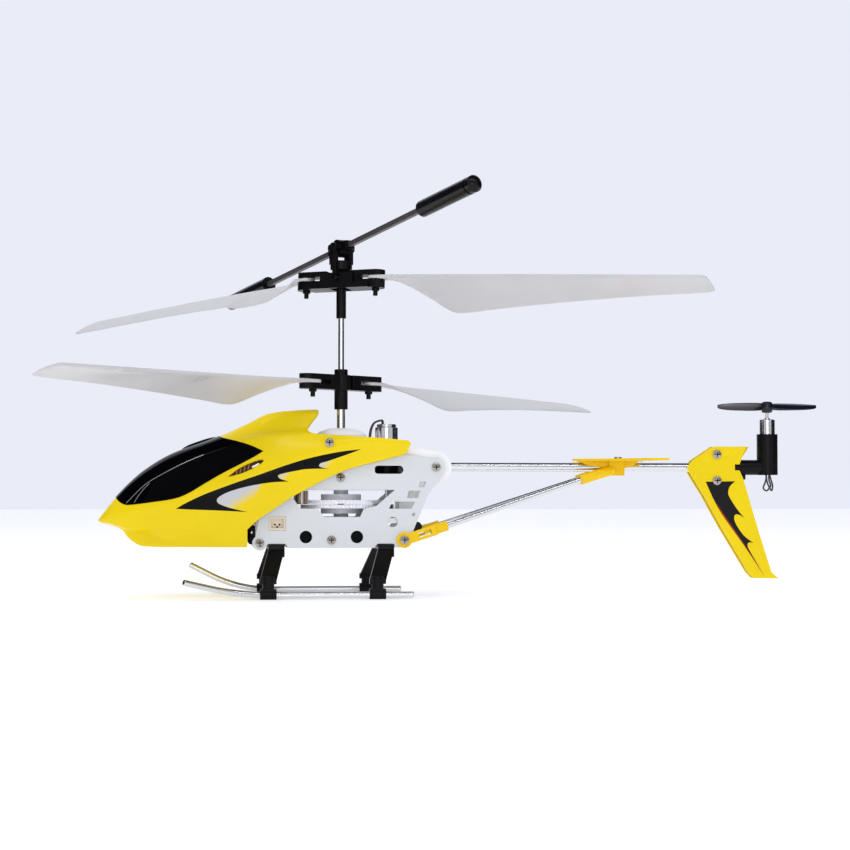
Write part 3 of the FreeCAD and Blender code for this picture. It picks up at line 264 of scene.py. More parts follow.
NOISE_SPAN = (0.3, 0.7)         # the part of a noise texture's range that the finishes use
RELIEF_DEPTH = 0.0002
YELLOW = (0.83, 0.62, 0.004)
SOOT = (0.004, 0.004, 0.005)
BRIGHT_METAL = (0.72, 0.72, 0.73)
FADE_GREY = (0.56, 0.56, 0.60)
FADE_WAY = (0.8, 0, -0.6)
GLOSS = specular(0.14) + (
    ("Coat Weight", 0.06), ("Coat Roughness", 0.05),
    ("Subsurface Weight", 0.05), ("Subsurface Radius", (0.0008, 0.0005, 0.0001)))
MILKY = (("Subsurface Weight", 0.4), ("Subsurface Radius", (0.002, 0.002, 0.002)))
FINISHES = {
    # colour, roughness, then what differs from a plain finish
    "yellow_gloss": (YELLOW, 0.25, {"vary": 0.03, "scale": 45, "sockets": GLOSS}),
    "yellow_clip": ((0.85, 0.55, 0.006), 0.30, {"scale": 90, "sockets": GLOSS}),
    "flame_black": (SOOT, 0.28, {"vary": 0.1, "sockets": specular(0.08)}),
    "black_glass": ((0.0012, 0.0012, 0.002), 0.06,
                    {"rough_vary": 0.015, "bump": 0.0, "sockets": specular(0.03)}),
    "bead_black": ((0.002, 0.002, 0.003), 0.08,
                   {"rough_vary": 0.02, "bump": 0.0, "sockets": specular(1.0) + (
                       ("Coat Weight", 1.0), ("Coat IOR", 2.3), ("Coat Roughness", 0.06))}),
    "black_plastic": ((0.003, 0.003, 0.0035), 0.34,
                      {"vary": 0.12, "scale": 120, "bump": 0.10, "sockets": specular(0.14)}),
    "weight_black": (SOOT, 0.22, {"vary": 0.12, "scale": 120, "sockets": specular(0.2)}),
    "plate_aluminium": ((0.62, 0.64, 0.66), 0.36,
                        {"metallic": 0.25, "rough_vary": 0.08, "scale": 30, "bump": 0.05,
                         "bump_scale": 400, "stretch": (0.2, 1, 3)}),
    "frame_white": ((0.86, 0.86, 0.86), 0.38, {"vary": 0.03, "scale": 70, "bump": 0.05}),
    "gear_nylon": ((0.88, 0.88, 0.92), 0.42, {"scale": 110, "sockets": MILKY}),
    "steel": (BRIGHT_METAL, 0.14,
              {"metallic": 1.0, "rough_vary": 0.02, "scale": 90, "bump": 0.0,
               "stretch": (1, 1, 0.1)}),
    "tube_steel": ((0.70, 0.71, 0.73), 0.17,
                   {"metallic": 1.0, "vary": 0.03, "rough_vary": 0.02, "scale": 90, "bump": 0.0,
                    "stretch": (0.1, 1, 1)}),
    "screw_steel": ((0.40, 0.37, 0.33), 0.26, {"metallic": 1.0, "vary": 0.12, "scale": 500}),
    "motor_can": (BRIGHT_METAL, 0.12,
                  {"metallic": 1.0, "vary": 0.05, "rough_vary": 0.03, "scale": 150,
                   "stretch": (1, 1, 0.2)}),
    "brass": ((0.52, 0.45, 0.40), 0.34, {"metallic": 1.0, "vary": 0.08, "scale": 300}),
    "flybar_grey": ((0.055, 0.050, 0.052), 0.42,
                    {"vary": 0.15, "scale": 150, "bump": 0.10, "stretch": (0.3, 0.3, 1)}),
    "rotor_navy": ((0.005, 0.006, 0.013), 0.20,
                   {"vary": 0.12, "scale": 120, "sockets": specular(0.4)}),
    "battery_wrap": (SOOT, 0.5,
                     {"vary": 0.2, "scale": 120, "bump": 0.15, "sockets": specular(0.1)}),
    "board_green": ((0.015, 0.10, 0.045), 0.4, {"vary": 0.2, "scale": 300, "bump": 0.10}),
    "lamp_clear": ((0.85, 0.90, 0.95), 0.08,
                   {"sockets": (("Transmission Weight", 0.8), ("IOR", 1.5))}),
    "socket_beige": ((0.80, 0.70, 0.55), 0.42, {"vary": 0.07, "scale": 250, "bump": 0.08}),
    "lead_black": ((0.03, 0.03, 0.038), 0.5, {"vary": 0.15, "scale": 300, "bump": 0.1}),
    "vent_slat": ((0.42, 0.22, 0.08), 0.45, {"vary": 0.15, "scale": 300}),
    "vent_dark": ((0.07, 0.012, 0.006), 0.5, {"vary": 0.6, "scale": 700, "bump": 0.3}),
    # slightly see-through milky plastic
    "blade_white": ((0.60, 0.59, 0.60), 0.36,
                    {"vary": 0.05, "rough_vary": 0.10, "scale": 70, "bump": 0.04,
                     "bump_scale": 500, "sockets": MILKY + specular(0.4) + (("Alpha", 0.92),)}),
}
FADES = {
    # from, to, direction, where the fade starts and ends along it, roughness
    "fade_front": (FADE_GREY, YELLOW, (0.52, 0, -0.85), -36.4, -33.2, 0.22),
    "fade_middle": (FADE_GREY, YELLOW, FADE_WAY, -32.2, -29.5, 0.22),
    "fade_rear": (FADE_GREY, YELLOW, FADE_WAY, -25.4, -22.8, 0.22),
    "fin_mark": ((0.45, 0.05, 0.008), SOOT, (0.821, 0, 0.571), 94.45, 95.05, 0.30),
}
MATERIALS = {name: material(name, colour, roughness, **settings)
             for name, (colour, roughness, settings) in FINISHES.items()}
MATERIALS.update({name: fading_material(name, *settings) for name, settings in FADES.items()})


# ---- mesh helpers -------------------------------------------------------------------
SAME_POINT = 0.02       # outline points closer than this are one point
OUTLINE_ROOM = 0.28     # grid points closer than this to an outline are left out
GAP_BLOCKS = 20         # the distances are worked out in this many blocks


def piece(name, mesh, body, slot, replaces=(), mats=None):
    """Put a finished mesh, drawn in scene metres, on its CAD body."""
    obj = bpy.data.objects.new(name, mesh)
    bpy.context.scene.collection.objects.link(obj)
    for key in mats or [slot]:
        mesh.materials.append(MATERIALS[key])
    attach(obj, body)
    if replaces:
        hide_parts(*replaces)
    return obj


def finished(name, bm, sharp_angle, body, slot, replaces=(), mats=None):
    """Turn a closed bmesh drawn in millimetres from the mast into a piece."""
    bmesh.ops.recalc_face_normals(bm, faces=bm.faces)
    bmesh.ops.transform(bm, matrix=TO_SCENE, verts=bm.verts)
    mesh = bpy.data.meshes.new(name)
    bm.to_mesh(mesh)
    bm.free()
    smooth(mesh, sharp_angle)
    return piece(name, mesh, body, slot, replaces, mats)


def smooth(mesh, sharp_angle):
    mesh.shade_smooth()
    mesh.set_sharp_from_angle(angle=math.radians(sharp_angle))


def applied(mesh, kind, settings, name):
    """The mesh with one modifier run on it."""
    temp = bpy.data.objects.new("temp", mesh)
    bpy.context.scene.collection.objects.link(temp)
    modifier = temp.modifiers.new(kind.lower(), kind)
    for key, value in settings.items():
        setattr(modifier, key, value)
    graph = bpy.context.evaluated_depsgraph_get()
    result = bpy.data.meshes.new_from_object(temp.evaluated_get(graph))
    result.name = name
    bpy.data.objects.remove(temp)
    return result


def drum(name, profile, sides):
    """A closed turned solid from (radius, height) points."""
    angles = [2 * math.pi * k / sides for k in range(sides)]
    points = [(r * math.cos(a), r * math.sin(a), z) for r, z in profile for a in angles]
    mesh = bpy.data.meshes.new(name)
    mesh.from_pydata(points, [], ring_faces(len(profile), sides))
    return mesh


def ring_faces(rings, count):
    """Faces of a closed solid made of rings that each have count points."""
    faces = [tuple(reversed(range(count)))]
    for ring in range(rings - 1):
        for k in range(count):
            a = ring * count + k
            b = ring * count + (k + 1) % count
            faces.append((a, b, b + count, a + count))
    faces.append(tuple(range((rings - 1) * count, rings * count)))
    return faces


def closed_loft(bm, rings):
    """Skin between rings of points, closed at both ends."""
    count = len(rings[0])
    verts = [bm.verts.new(point) for ring in rings for point in ring]
    for face in ring_faces(len(rings), count):
        bm.faces.new([verts[k] for k in face])


def eased_box(low, high, **bevel):
    """A box with rounded edges."""
    bm = bmesh.new()
    bmesh.ops.create_cube(bm, size=1.0)
    for vert in bm.verts:
        vert.co = [low[k] if vert.co[k] < 0 else high[k] for k in range(3)]
    bmesh.ops.bevel(bm, geom=bm.edges[:], affect="EDGES", **bevel)
    return bm


def turned(angle, axis):
    return Matrix.Rotation(math.radians(angle), 4, axis)


def add_placed(bm, mesh, place, turn):
    """Add a mesh to a bmesh, turned and then moved."""
    mesh.transform(Matrix.Translation(place) @ turn)
    bm.from_mesh(mesh)


def spline(points, step=0.4):
    """A smooth line through the points, which turns sharply at a point given twice."""
    runs = [[points[0]]]
    for before, point in zip(points, points[1:]):
        if point == before:
            runs.append([point])
        else:
            runs[-1].append(point)
    line = []
    for run in runs:
        if len(run) < 2:
            continue
        pts = [np.array(p, float) for p in run]
        ends = [2 * pts[0] - pts[1]] + pts + [2 * pts[-1] - pts[-2]]
        for a, b, c, d in zip(ends, ends[1:], ends[2:], ends[3:]):
            count = max(int(np.linalg.norm(c - b) / step), 1)
            for k in range(count):
                t = k / count
                line.append(tuple(0.5 * (2 * b + (c - a) * t + (2 * a - 5 * b + 4 * c - d) * t ** 2
                                         + (3 * b - a - 3 * c + d) * t ** 3)))
        line.append(tuple(pts[-1]))
    kept = [line[0]]
    for point in line[1:]:
        if math.dist(point, kept[-1]) > SAME_POINT:
            kept.append(point)
    if math.dist(kept[0], kept[-1]) < SAME_POINT:
        kept.pop()
    return kept


def inside(points, polygon):
    """Which of the points lie in the polygon."""
    px, py = points[:, 0], points[:, 1]
    result = np.zeros(len(points), bool)
    corners = np.array(polygon)
    for (ax, ay), (bx, by) in zip(corners, np.roll(corners, -1, axis=0)):
        crosses = (ay > py) != (by > py)
        with np.errstate(divide="ignore", invalid="ignore"):
            result ^= crosses & (px < (bx - ax) * (py - ay) / (by - ay) + ax)
    return result


def triangulated(grid, outlines):
    """Triangles over grid points and closed outlines; no triangle crosses an outline."""
    coords = []
    edges = []
    for outline in outlines:
        first = len(coords)
        coords += outline
        count = len(outline)
        edges += [(first + k, first + (k + 1) % count) for k in range(count)]
    fixed = np.array(coords)
    grid = np.array(grid)
    near = np.empty(len(grid))
    for block in np.array_split(np.arange(len(grid)), GAP_BLOCKS):
        gap = grid[block][:, None, :] - fixed[None, :, :]
        near[block] = np.sqrt((gap ** 2).sum(-1)).min(1)
    coords += [tuple(p) for p in grid[near > OUTLINE_ROOM]]
    flat = [Vector(p) for p in coords]
    verts, _, faces, *_ = geometry.delaunay_2d_cdt(flat, edges, [], 0, 1e-5)
    return np.array([tuple(v) for v in verts]), faces


# ---- canopy -------------------------------------------------------------------------
# Half sections from nose to tail: station, then (half width, height) of the centre line,
# roof edge, foot of the air scoop, brow, widest point and flank.
STATIONS = (
    (-62.3, (0, 19.75), (0.2, 19.74), (0.4, 19.72), (0.6, 19.7), (0.8, 19.6), (0.7, 19.5)),
    (-61.4, (0, 21.0), (0.9, 20.9), (1.7, 20.7), (2.3, 20.4), (3.1, 19.8), (3.0, 19.4)),
    (-59.0, (0, 24.1), (1.8, 23.95), (3.4, 23.4), (4.6, 22.5), (6.0, 20.9), (5.8, 19.8)),
    (-54.6, (0, 29.0), (2.6, 28.8), (5.0, 27.8), (6.8, 25.8), (8.6, 22.2), (8.4, 19.9)),
    (-50.6, (0, 32.5), (3.2, 32.2), (6.2, 31.0), (8.2, 28.6), (10.1, 23.6), (9.9, 20.2)),
    (-44.0, (0, 36.5), (3.6, 36.3), (7.0, 35.1), (9.2, 32.4), (11.6, 25.4), (11.4, 20.8)),
    (-34.0, (0, 40.3), (3.8, 40.1), (7.2, 39.2), (9.8, 36.9), (12.8, 28.0), (12.6, 22.0)),
    (-30.0, (0, 41.9), (3.8, 41.6), (6.8, 40.6), (9.8, 38.4), (13.0, 29.4), (12.8, 22.4)),
    (-24.0, (0, 44.7), (3.7, 44.2), (6.1, 42.1), (9.7, 40.0), (13.0, 31.5), (12.9, 24.0)),
    (-19.0, (0, 47.1), (3.9, 46.6), (6.0, 42.8), (9.5, 41.0), (12.8, 33.2), (12.7, 27.0)),
    (-15.0, (0, 47.8), (4.0, 47.3), (6.1, 43.1), (9.4, 41.5), (12.6, 34.5), (12.5, 29.0)),
    (-6.4, (0, 48.3), (4.2, 47.7), (6.4, 43.3), (9.4, 42.0), (11.9, 37.4), (11.9, 34.0)),
    (4.0, (0, 48.3), (4.2, 47.7), (6.8, 43.4), (9.4, 42.6), (11.45, 40.0), (11.5, 36.4)),
    (18.4, (0, 48.3), (4.2, 47.7), (6.8, 44.0), (9.4, 42.2), (11.2, 39.6), (11.3, 37.8)))
# Below the flank: station, then the jaw crease, the hollow under it and the bottom edge.
JAW = (
    (-62.3, (0.6, 19.42), (0.4, 19.41), (0.3, 19.4)),
    (-61.4, (2.6, 19.15), (2.0, 19.0), (1.3, 18.9)),
    (-59.0, (5.4, 18.9), (4.0, 18.6), (3.4, 18.4)),
    (-55.6, (7.2, 18.0), (6.0, 17.4), (5.2, 16.9)),
    (-54.6, (7.6, 17.8), (6.4, 16.9), (5.8, 15.4)),
    (-50.6, (9.2, 17.6), (6.5, 16.3), (6.2, 13.1)),
    (-46.0, (10.4, 17.5), (7.6, 15.1), (7.3, 12.9)),
    (-40.2, (11.4, 17.4), (8.7, 13.9), (8.4, 12.9)),
    (-36.8, (11.9, 17.3), (9.6, 13.7), (9.3, 12.9)),
    (-33.0, (12.1, 15.6), (10.6, 13.7), (10.3, 12.9)),
    (-30.0, (12.1, 13.8), (12.0, 13.3), (11.8, 12.9)),
    (-24.0, (12.3, 13.7), (12.2, 13.2), (12.1, 12.9)),
    (-19.0, (12.4, 19.0), (12.2, 15.0), (11.6, 12.9)),
    (-15.0, (12.3, 24.5), (12.1, 18.0), (11.6, 12.9)),
    (-6.4, (11.8, 30.5), (11.7, 22.0), (11.5, 12.9)),
    (4.0, (11.4, 32.5), (11.3, 24.0), (11.2, 12.9)),
    (18.4, (11.2, 35.0), (11.1, 24.0), (11.0, 12.9)))
# How sharply the section turns at each of its points: 0 smooth, 1 a corner.
CREASES = (0.0, 0.35, 0.25, 0.75, 0.0, 0.0, 0.85, 0.6, 0.9, 0.0)
BOTTOM = 8              # section point on the bottom edge; the next is on the centre line below it
T_SCALE = 5.0           # millimetres of drawing sheet per step between two section points
T_END = (BOTTOM + 1) * T_SCALE
NOSE_X = -55.0          # ahead of this an inset also moves the nose back
NOSE_SHIFT = 2.2
SLIMMEST = 0.25         # an inset leaves at least this part of the width and height
HALVINGS = 30
OFF_SHEET = 1.5         # outlines run this far past the drawing sheet's edges
WALL = 0.8
PANE = (-0.10, 0.5)     # insets of the windscreen's outer and inner face
CANOPY_SCREW = (-3.7, 39.4)
SCREW_HOLE = 0.6
SWITCH_SLOT = (-29.8, -25.2)
GRID_STEP = 0.5
NOSE_STEP = 0.3
STATION_X = np.array([row[0] for row in STATIONS])
JAW_X = np.array([row[0] for row in JAW])
COLUMNS = [(STATION_X, np.array([row[1 + j] for row in STATIONS], float)) for j in range(6)]
COLUMNS += [(JAW_X, np.array([row[1 + j] for row in JAW], float)) for j in range(3)]
COLUMNS.append((JAW_X, np.array([(0.0, row[3][1]) for row in JAW])))


def pchip_slopes(xs, values):
    """Slopes for a smooth curve through the values that never overshoots them."""
    step = np.diff(xs)
    rise = np.diff(values) / step
    slopes = np.zeros(len(xs))
    for i in range(1, len(xs) - 1):
        if rise[i - 1] * rise[i] > 0:
            w1 = 2 * step[i] + step[i - 1]
            w2 = step[i] + 2 * step[i - 1]
            slopes[i] = (w1 + w2) / (w1 / rise[i - 1] + w2 / rise[i])
    slopes[0], slopes[-1] = rise[0], rise[-1]
    return slopes


def cubic(t, h, first, last, slope, last_slope):
    """A cubic between two values with given end slopes, at a fraction of its span h."""
    return ((1 + 2 * t) * (1 - t) ** 2 * first + t * (1 - t) ** 2 * h * slope
            + t * t * (3 - 2 * t) * last + t * t * (t - 1) * h * last_slope)


def curve_through(xs, values):
    slopes = pchip_slopes(xs, values)

    def at(x):
        i = int(np.clip(np.searchsorted(xs, x) - 1, 0, len(xs) - 2))
        h = xs[i + 1] - xs[i]
        t = min(max((x - xs[i]) / h, 0.0), 1.0)
        return cubic(t, h, values[i], values[i + 1], slopes[i], slopes[i + 1])
    return at


COLUMN_CURVES = [[curve_through(xs, col[:, k]) for k in (0, 1)] for xs, col in COLUMNS]
SECTION_CACHE = {}


def section(x):
    """The half-section points at a station, with their tangents on each side."""
    key = round(x, 3)
    if key not in SECTION_CACHE:
        pts = np.array([(cy(x), cz(x)) for cy, cz in COLUMN_CURVES])
        steps = np.diff(pts, axis=0)
        left = np.vstack([steps[0] * (1, 0), steps])
        right = np.vstack([steps, steps[-1] * (1, 0)])
        middle = (left + right) / 2
        crease = np.array(CREASES)[:, None]
        SECTION_CACHE[key] = (pts, middle + (left - middle) * crease,
                              middle + (right - middle) * crease)
    return SECTION_CACHE[key]


def canopy_yz(x, s):
    """Half width and height at a station, s section points down from the centre line."""
    pts, coming, going = section(x)
    i = int(min(max(math.floor(s), 0), BOTTOM))
    t = min(max(s - i, 0.0), 1.0)
    value = cubic(t, 1.0, pts[i], pts[i + 1], going[i], coming[i + 1])
    return max(value[0], 0.0), value[1]


def canopy_point(x, t, inset=0.0):
    """A point of the canopy's left side, drawn in by inset millimetres all round."""
    y, z = canopy_yz(x, t / T_SCALE)
    pts = section(x)[0]
    wide = max(pts[:, 0].max(), 0.9)
    middle = (pts[0, 1] + pts[-1, 1]) / 2
    tall = max((pts[0, 1] - pts[-1, 1]) / 2, 0.2)
    shrink_y = max(wide - inset, SLIMMEST * wide) / wide
    shrink_z = max(tall - inset, SLIMMEST * tall) / tall
    nose = max(NOSE_X - x, 0.0) / (NOSE_X - STATION_X[0])
    return x + NOSE_SHIFT * inset * nose, -y * shrink_y, middle + (z - middle) * shrink_z


def sheet_t(x, z):
    """Where a side-view point falls on the drawing sheet, down from the top centre line."""
    x = min(max(x, STATION_X[0]), STATION_X[-1])
    top = canopy_yz(x, 0)[1]
    bottom = canopy_yz(x, BOTTOM)[1]
    if z >= top:
        return -(z - top) - 0.01
    if z <= bottom:
        return T_END + 1 + (bottom - z)
    low, high = 0.0, float(BOTTOM)
    for _ in range(HALVINGS):
        half = (low + high) / 2
        if canopy_yz(x, half)[1] > z:
            low = half
        else:
            high = half
    return low * T_SCALE


def on_sheet(points):
    """A side-view outline carried to the drawing sheet, shorn where it leaves the canopy."""
    return [(x, min(max(sheet_t(x, z), -OFF_SHEET), T_END + OFF_SHEET))
            for x, z in spline(points)]


def canopy_line(points, step, inset, side):
    """A side-view line laid on the canopy, on its left (-1) or right side (1)."""
    line = []
    for x, z in spline(points, step):
        px, y, pz = canopy_point(x, sheet_t(x, z), inset)
        line.append(Vector((px, -side * y, pz)))
    return line


# Side-view outlines; a point given twice is a sharp corner. BEHIND is all that is cut away
# behind and below the canopy.
BEHIND = [
    (-24.4, -5), (-24.4, -5), (-24.4, 17.4), (-24.4, 17.4), (-21.6, 19.9), (-17.3, 22.8),
    (-13.1, 25.6), (-8.5, 28.1), (-4.0, 30.4), (0.4, 32.4), (7.3, 34.4), (14.6, 36.3),
    (15.9, 36.9), (16.7, 38.2), (17.1, 39.3), (16.7, 39.9), (15.4, 40.1), (8.9, 40.7),
    (0.0, 41.2), (-6.6, 41.7), (-8.3, 42.1), (-9.0, 43.0), (-8.2, 44.6), (-6.4, 47.0),
    (-6.0, 47.9), (-6.4, 48.45), (-7.2, 48.65), (-7.6, 50), (-7.6, 50), (-7.6, 60), (-7.6, 60),
    (40, 60), (40, 60), (40, -5), (40, -5)]
GLASS = [
    (-57.9, 25.7), (-57.9, 25.7), (-56.7, 24.4), (-55.4, 23.7), (-53.8, 23.6), (-48.1, 24.3),
    (-42.6, 25.2), (-39.1, 26.6), (-35.1, 29.0), (-30.8, 31.5), (-26.4, 33.8), (-23.0, 35.6),
    (-20.4, 37.2), (-20.4, 37.2), (-23.5, 38.6), (-27.0, 39.7), (-30.5, 40.6), (-31.6, 41.2),
    (-31.6, 41.2), (-31.7, 60), (-31.7, 60), (-57.9, 60), (-57.9, 60)]
VENT = [
    (-29.4, 30.6), (-29.4, 30.6), (-26.8, 32.7), (-23.6, 34.3), (-21.3, 35.1), (-20.3, 34.9),
    (-21.0, 34.0), (-23.6, 32.5), (-26.2, 31.4)]
FLAME = [
    (4.4, 37.75), (4.4, 37.75), (2.4, 36.95), (-1.1, 35.7), (-4.0, 34.7), (-6.0, 34.1),
    (-6.4, 33.5), (-5.4, 33.0), (-3.6, 32.7), (-3.6, 32.7), (-6.4, 32.75), (-9.9, 32.6),
    (-12.2, 32.2), (-15.1, 31.6), (-16.7, 31.0), (-16.2, 30.2), (-14.0, 29.5), (-14.0, 29.5),
    (-18.0, 29.3), (-20.9, 28.9), (-23.7, 28.4), (-26.5, 27.7), (-29.3, 26.8), (-31.4, 25.7),
    (-32.1, 24.8), (-31.7, 24.0), (-30.2, 23.3), (-27.9, 22.6), (-24.4, 21.8), (-24.4, 21.8),
    (-32.2, 22.2), (-38.0, 22.4), (-42.4, 22.6), (-42.4, 22.6), (-39.4, 24.3), (-35.1, 26.3),
    (-30.8, 27.95), (-26.5, 29.5), (-22.1, 31.0), (-19.0, 32.1), (-15.1, 33.5), (-10.7, 34.9),
    (-6.4, 36.0), (-2.0, 36.9), (0.9, 37.35)]
NOTCH = [
    (-32.1, 24.8), (-31.4, 25.7), (-29.3, 26.8), (-26.5, 27.7), (-23.7, 28.4), (-20.9, 28.9),
    (-20.9, 28.9), (-24.4, 21.8), (-24.4, 21.8), (-27.9, 22.6), (-30.2, 23.3), (-31.7, 24.0)]
NOTCH_MIDDLE = [
    (-16.7, 31.0), (-15.1, 31.6), (-12.2, 32.2), (-10.5, 32.5), (-10.5, 32.5), (-14.0, 29.5),
    (-14.0, 29.5), (-16.2, 30.2)]
NOTCH_REAR = [
    (-6.4, 33.5), (-6.0, 34.1), (-4.0, 34.7), (-2.5, 35.1), (-2.5, 35.1), (-3.6, 32.7),
    (-3.6, 32.7), (-5.4, 33.0)]


def mirrored_shell(mesh):
    """A left half with its right side added and the two welded along the centre line."""
    bm = bmesh.new()
    bm.from_mesh(mesh)
    copy = bmesh.ops.duplicate(bm, geom=bm.verts[:] + bm.edges[:] + bm.faces[:])["geom"]
    new_faces = [part for part in copy if isinstance(part, bmesh.types.BMFace)]
    for part in copy:
        if isinstance(part, bmesh.types.BMVert):
            part.co.y = -part.co.y
    bmesh.ops.reverse_faces(bm, faces=new_faces)
    bmesh.ops.remove_doubles(bm, verts=bm.verts, dist=0.004)
    return bm


def canopy_shell(name, slot, replaces, verts, faces, marks, insets, mats=None):
    """A wall between two insets of the canopy's form over some triangles of the sheet."""
    used = sorted({i for face in faces for i in face})
    place = {v: k for k, v in enumerate(used)}
    points = [canopy_point(verts[v][0], min(max(verts[v][1], 0.0), T_END), inset)
              for inset in insets for v in used]
    count = len(used)
    outer = [tuple(place[i] for i in face) for face in faces]
    inner = [tuple(i + count for i in reversed(face)) for face in outer]
    edges = {}
    for face in outer:
        for a, b in zip(face, face[1:] + face[:1]):
            edges[(a, b)] = True
    walls = []
    for a, b in edges:
        sheet_ts = [verts[used[k]][1] for k in (a, b)]
        on_centre = all(min(abs(t), abs(t - T_END)) < 1e-4 for t in sheet_ts)
        if (b, a) not in edges and not on_centre:
            walls.append((b, a, a + count, b + count))
    half = bpy.data.meshes.new(name + "_half")
    half.from_pydata(points, [], outer + inner + walls)
    half.polygons.foreach_set("material_index", marks + [0] * (len(inner) + len(walls)))
    finished(name, mirrored_shell(half), 38, "airframe", slot, replaces, mats)


def canopy():
    outlines = [on_sheet(line)
                for line in (BEHIND, GLASS, VENT, FLAME, NOTCH, NOTCH_MIDDLE, NOTCH_REAR)]
    hole = []
    for angle in np.linspace(0, 2 * math.pi, 16)[:-1]:
        x = CANOPY_SCREW[0] + SCREW_HOLE * math.cos(angle)
        hole.append((x, sheet_t(x, CANOPY_SCREW[1] + SCREW_HOLE * math.sin(angle))))
    front, rear = SWITCH_SLOT
    slot_edge = T_END - 0.1 * T_SCALE
    past = T_END + OFF_SHEET
    slot = [(front, slot_edge), (rear, slot_edge), (rear, past), (front, past)]
    first, last = STATION_X[0], STATION_X[-1]
    border = [(x, 0.0) for x in np.arange(first, last, GRID_STEP)]
    border += [(last, t) for t in np.arange(0, T_END, GRID_STEP)]
    border += [(x, T_END) for x in np.arange(last, first, -GRID_STEP)]
    border += [(first, t) for t in np.arange(T_END, 0, -GRID_STEP)]
    xs = np.concatenate([np.arange(first + NOSE_STEP, -56, NOSE_STEP),
                         np.arange(-56, last - 0.1, GRID_STEP)])
    grid = [(x, t) for x in xs for t in np.arange(GRID_STEP, T_END, GRID_STEP)]
    verts, faces = triangulated(grid, outlines + [hole, slot, border])
    centres = np.array([verts[list(face)].mean(0) for face in faces])
    behind, glass, vent, flame, *notches = [inside(centres, line) for line in outlines]
    gone = behind | vent | inside(centres, hole) | inside(centres, slot)
    gone |= (centres[:, 1] < 0) | (centres[:, 1] > T_END)
    marks = np.zeros(len(faces), int)
    for mark, covered in reversed(list(enumerate([flame] + notches, 1))):
        marks[covered] = mark
    body = [k for k in range(len(faces)) if not gone[k] and not glass[k]]
    pane = [k for k in range(len(faces)) if not gone[k] and glass[k]]
    canopy_shell("canopy", "yellow_gloss", ["canopy_shell"], verts, [faces[k] for k in body],
                 [int(marks[k]) for k in body], (0.0, WALL),
                 ["yellow_gloss", "flame_black", "fade_front", "fade_middle", "fade_rear"])
    canopy_shell("windscreen", "black_glass", ["windshield"], verts, [faces[k] for k in pane],
                 [0] * len(pane), PANE)


def canopy_bosses():
    """A low round boss under each of the canopy's side screws."""
    profile = [(1.75, 9.9), (1.7, 11.2), (1.55, 11.5), (1.35, 11.6), (0.7, 11.6)]
    bm = bmesh.new()
    for side in SIDES:
        add_placed(bm, drum("boss", profile, 48), (CANOPY_SCREW[0], 0, CANOPY_SCREW[1]),
                   turned(-90 * side, "X"))
    finished("canopy_bosses", bm, 40, "airframe", "yellow_gloss")


def windscreen_ridge():
    """A thin raised rib along the windscreen's top centre line."""
    stations = np.array(((-41.4, 0.02), (-40.6, 0.35), (-38.6, 0.65), (-36.0, 0.65),
                         (-33.6, 0.45), (-32.2, 0.1)))
    height = curve_through(stations[:, 0], stations[:, 1])
    rings = []
    for x in np.linspace(stations[0, 0], stations[-1, 0], 36):
        base = canopy_yz(x, 0)[1]
        rise = height(x)
        rings.append([(x, y, base + z) for y, z in (
            (-0.5, -0.5), (-0.42, rise * 0.4), (-0.26, rise * 0.85), (0, rise),
            (0.26, rise * 0.85), (0.42, rise * 0.4), (0.5, -0.5))])
    bm = bmesh.new()
    closed_loft(bm, rings)
    finished("windscreen_ridge", bm, 50, "airframe", "black_glass")


def tube(bm, points, radius, sides=10):
    """A round bead along some points, closed at its ends."""
    rings = []
    last = len(points) - 1
    for k, point in enumerate(points):
        along = (points[min(k + 1, last)] - points[max(k - 1, 0)]).normalized()
        across = along.cross(Vector((0, 0, 1))).normalized()
        up = across.cross(along)
        size = radius * (0.35 if k in (0, last) else 1.0)
        rings.append([point + size * (math.cos(a) * across + math.sin(a) * up)
                      for a in np.linspace(0, 2 * math.pi, sides + 1)[:-1]])
    closed_loft(bm, rings)


def windscreen_beads():
    """A thin rounded bead along the windscreen's brow, and a short one under its foot."""
    brow = [(-55.0, 23.9), (-50.2, 28.6), (-45.5, 31.5), (-40.0, 34.3), (-35.2, 36.3)]
    foot = [(-52.9, 24.0), (-51.9, 25.7), (-50.4, 27.6), (-48.9, 29.1)]
    bm = bmesh.new()
    for side in SIDES:
        tube(bm, canopy_line(brow, 0.5, PANE[0], side), 0.17)
        tube(bm, canopy_line(foot, 0.5, PANE[0], side), 0.12)
    finished("windscreen_beads", bm, 60, "airframe", "black_glass", mats=["bead_black"])


def vent_slats():
    """Short slats across each vent over the dark grille, and a pale tab at its rear end that is a
    painted highlight.
    """
    slats = (((-27.3, 31.15), (-27.0, 32.35)), ((-26.3, 31.55), (-26.0, 32.95)),
             ((-25.3, 31.95), (-25.0, 33.45)), ((-24.3, 32.4), (-24.0, 33.9)))
    # the pale tab is painted highlight: a pale mark where the vent's rear end catches the light
    tab = ((-23.3, 33.1), (-22.3, 33.6), (-21.4, 34.1))
    bm = bmesh.new()
    painted_highlight_marks = bmesh.new()
    for side in SIDES:
        for slat in slats:
            tube(bm, canopy_line(slat, 0.3, 0.35, side), 0.14, 8)
        tube(painted_highlight_marks, canopy_line(tab, 0.2, 0.3, side), 0.30)
    finished("vent_slats", bm, 60, "airframe", "yellow_clip", mats=["vent_slat"])
    # frame_white here is painted highlight on the vent's rear end
    finished("vent_painted_highlights", painted_highlight_marks, 60, "airframe", "frame_white")


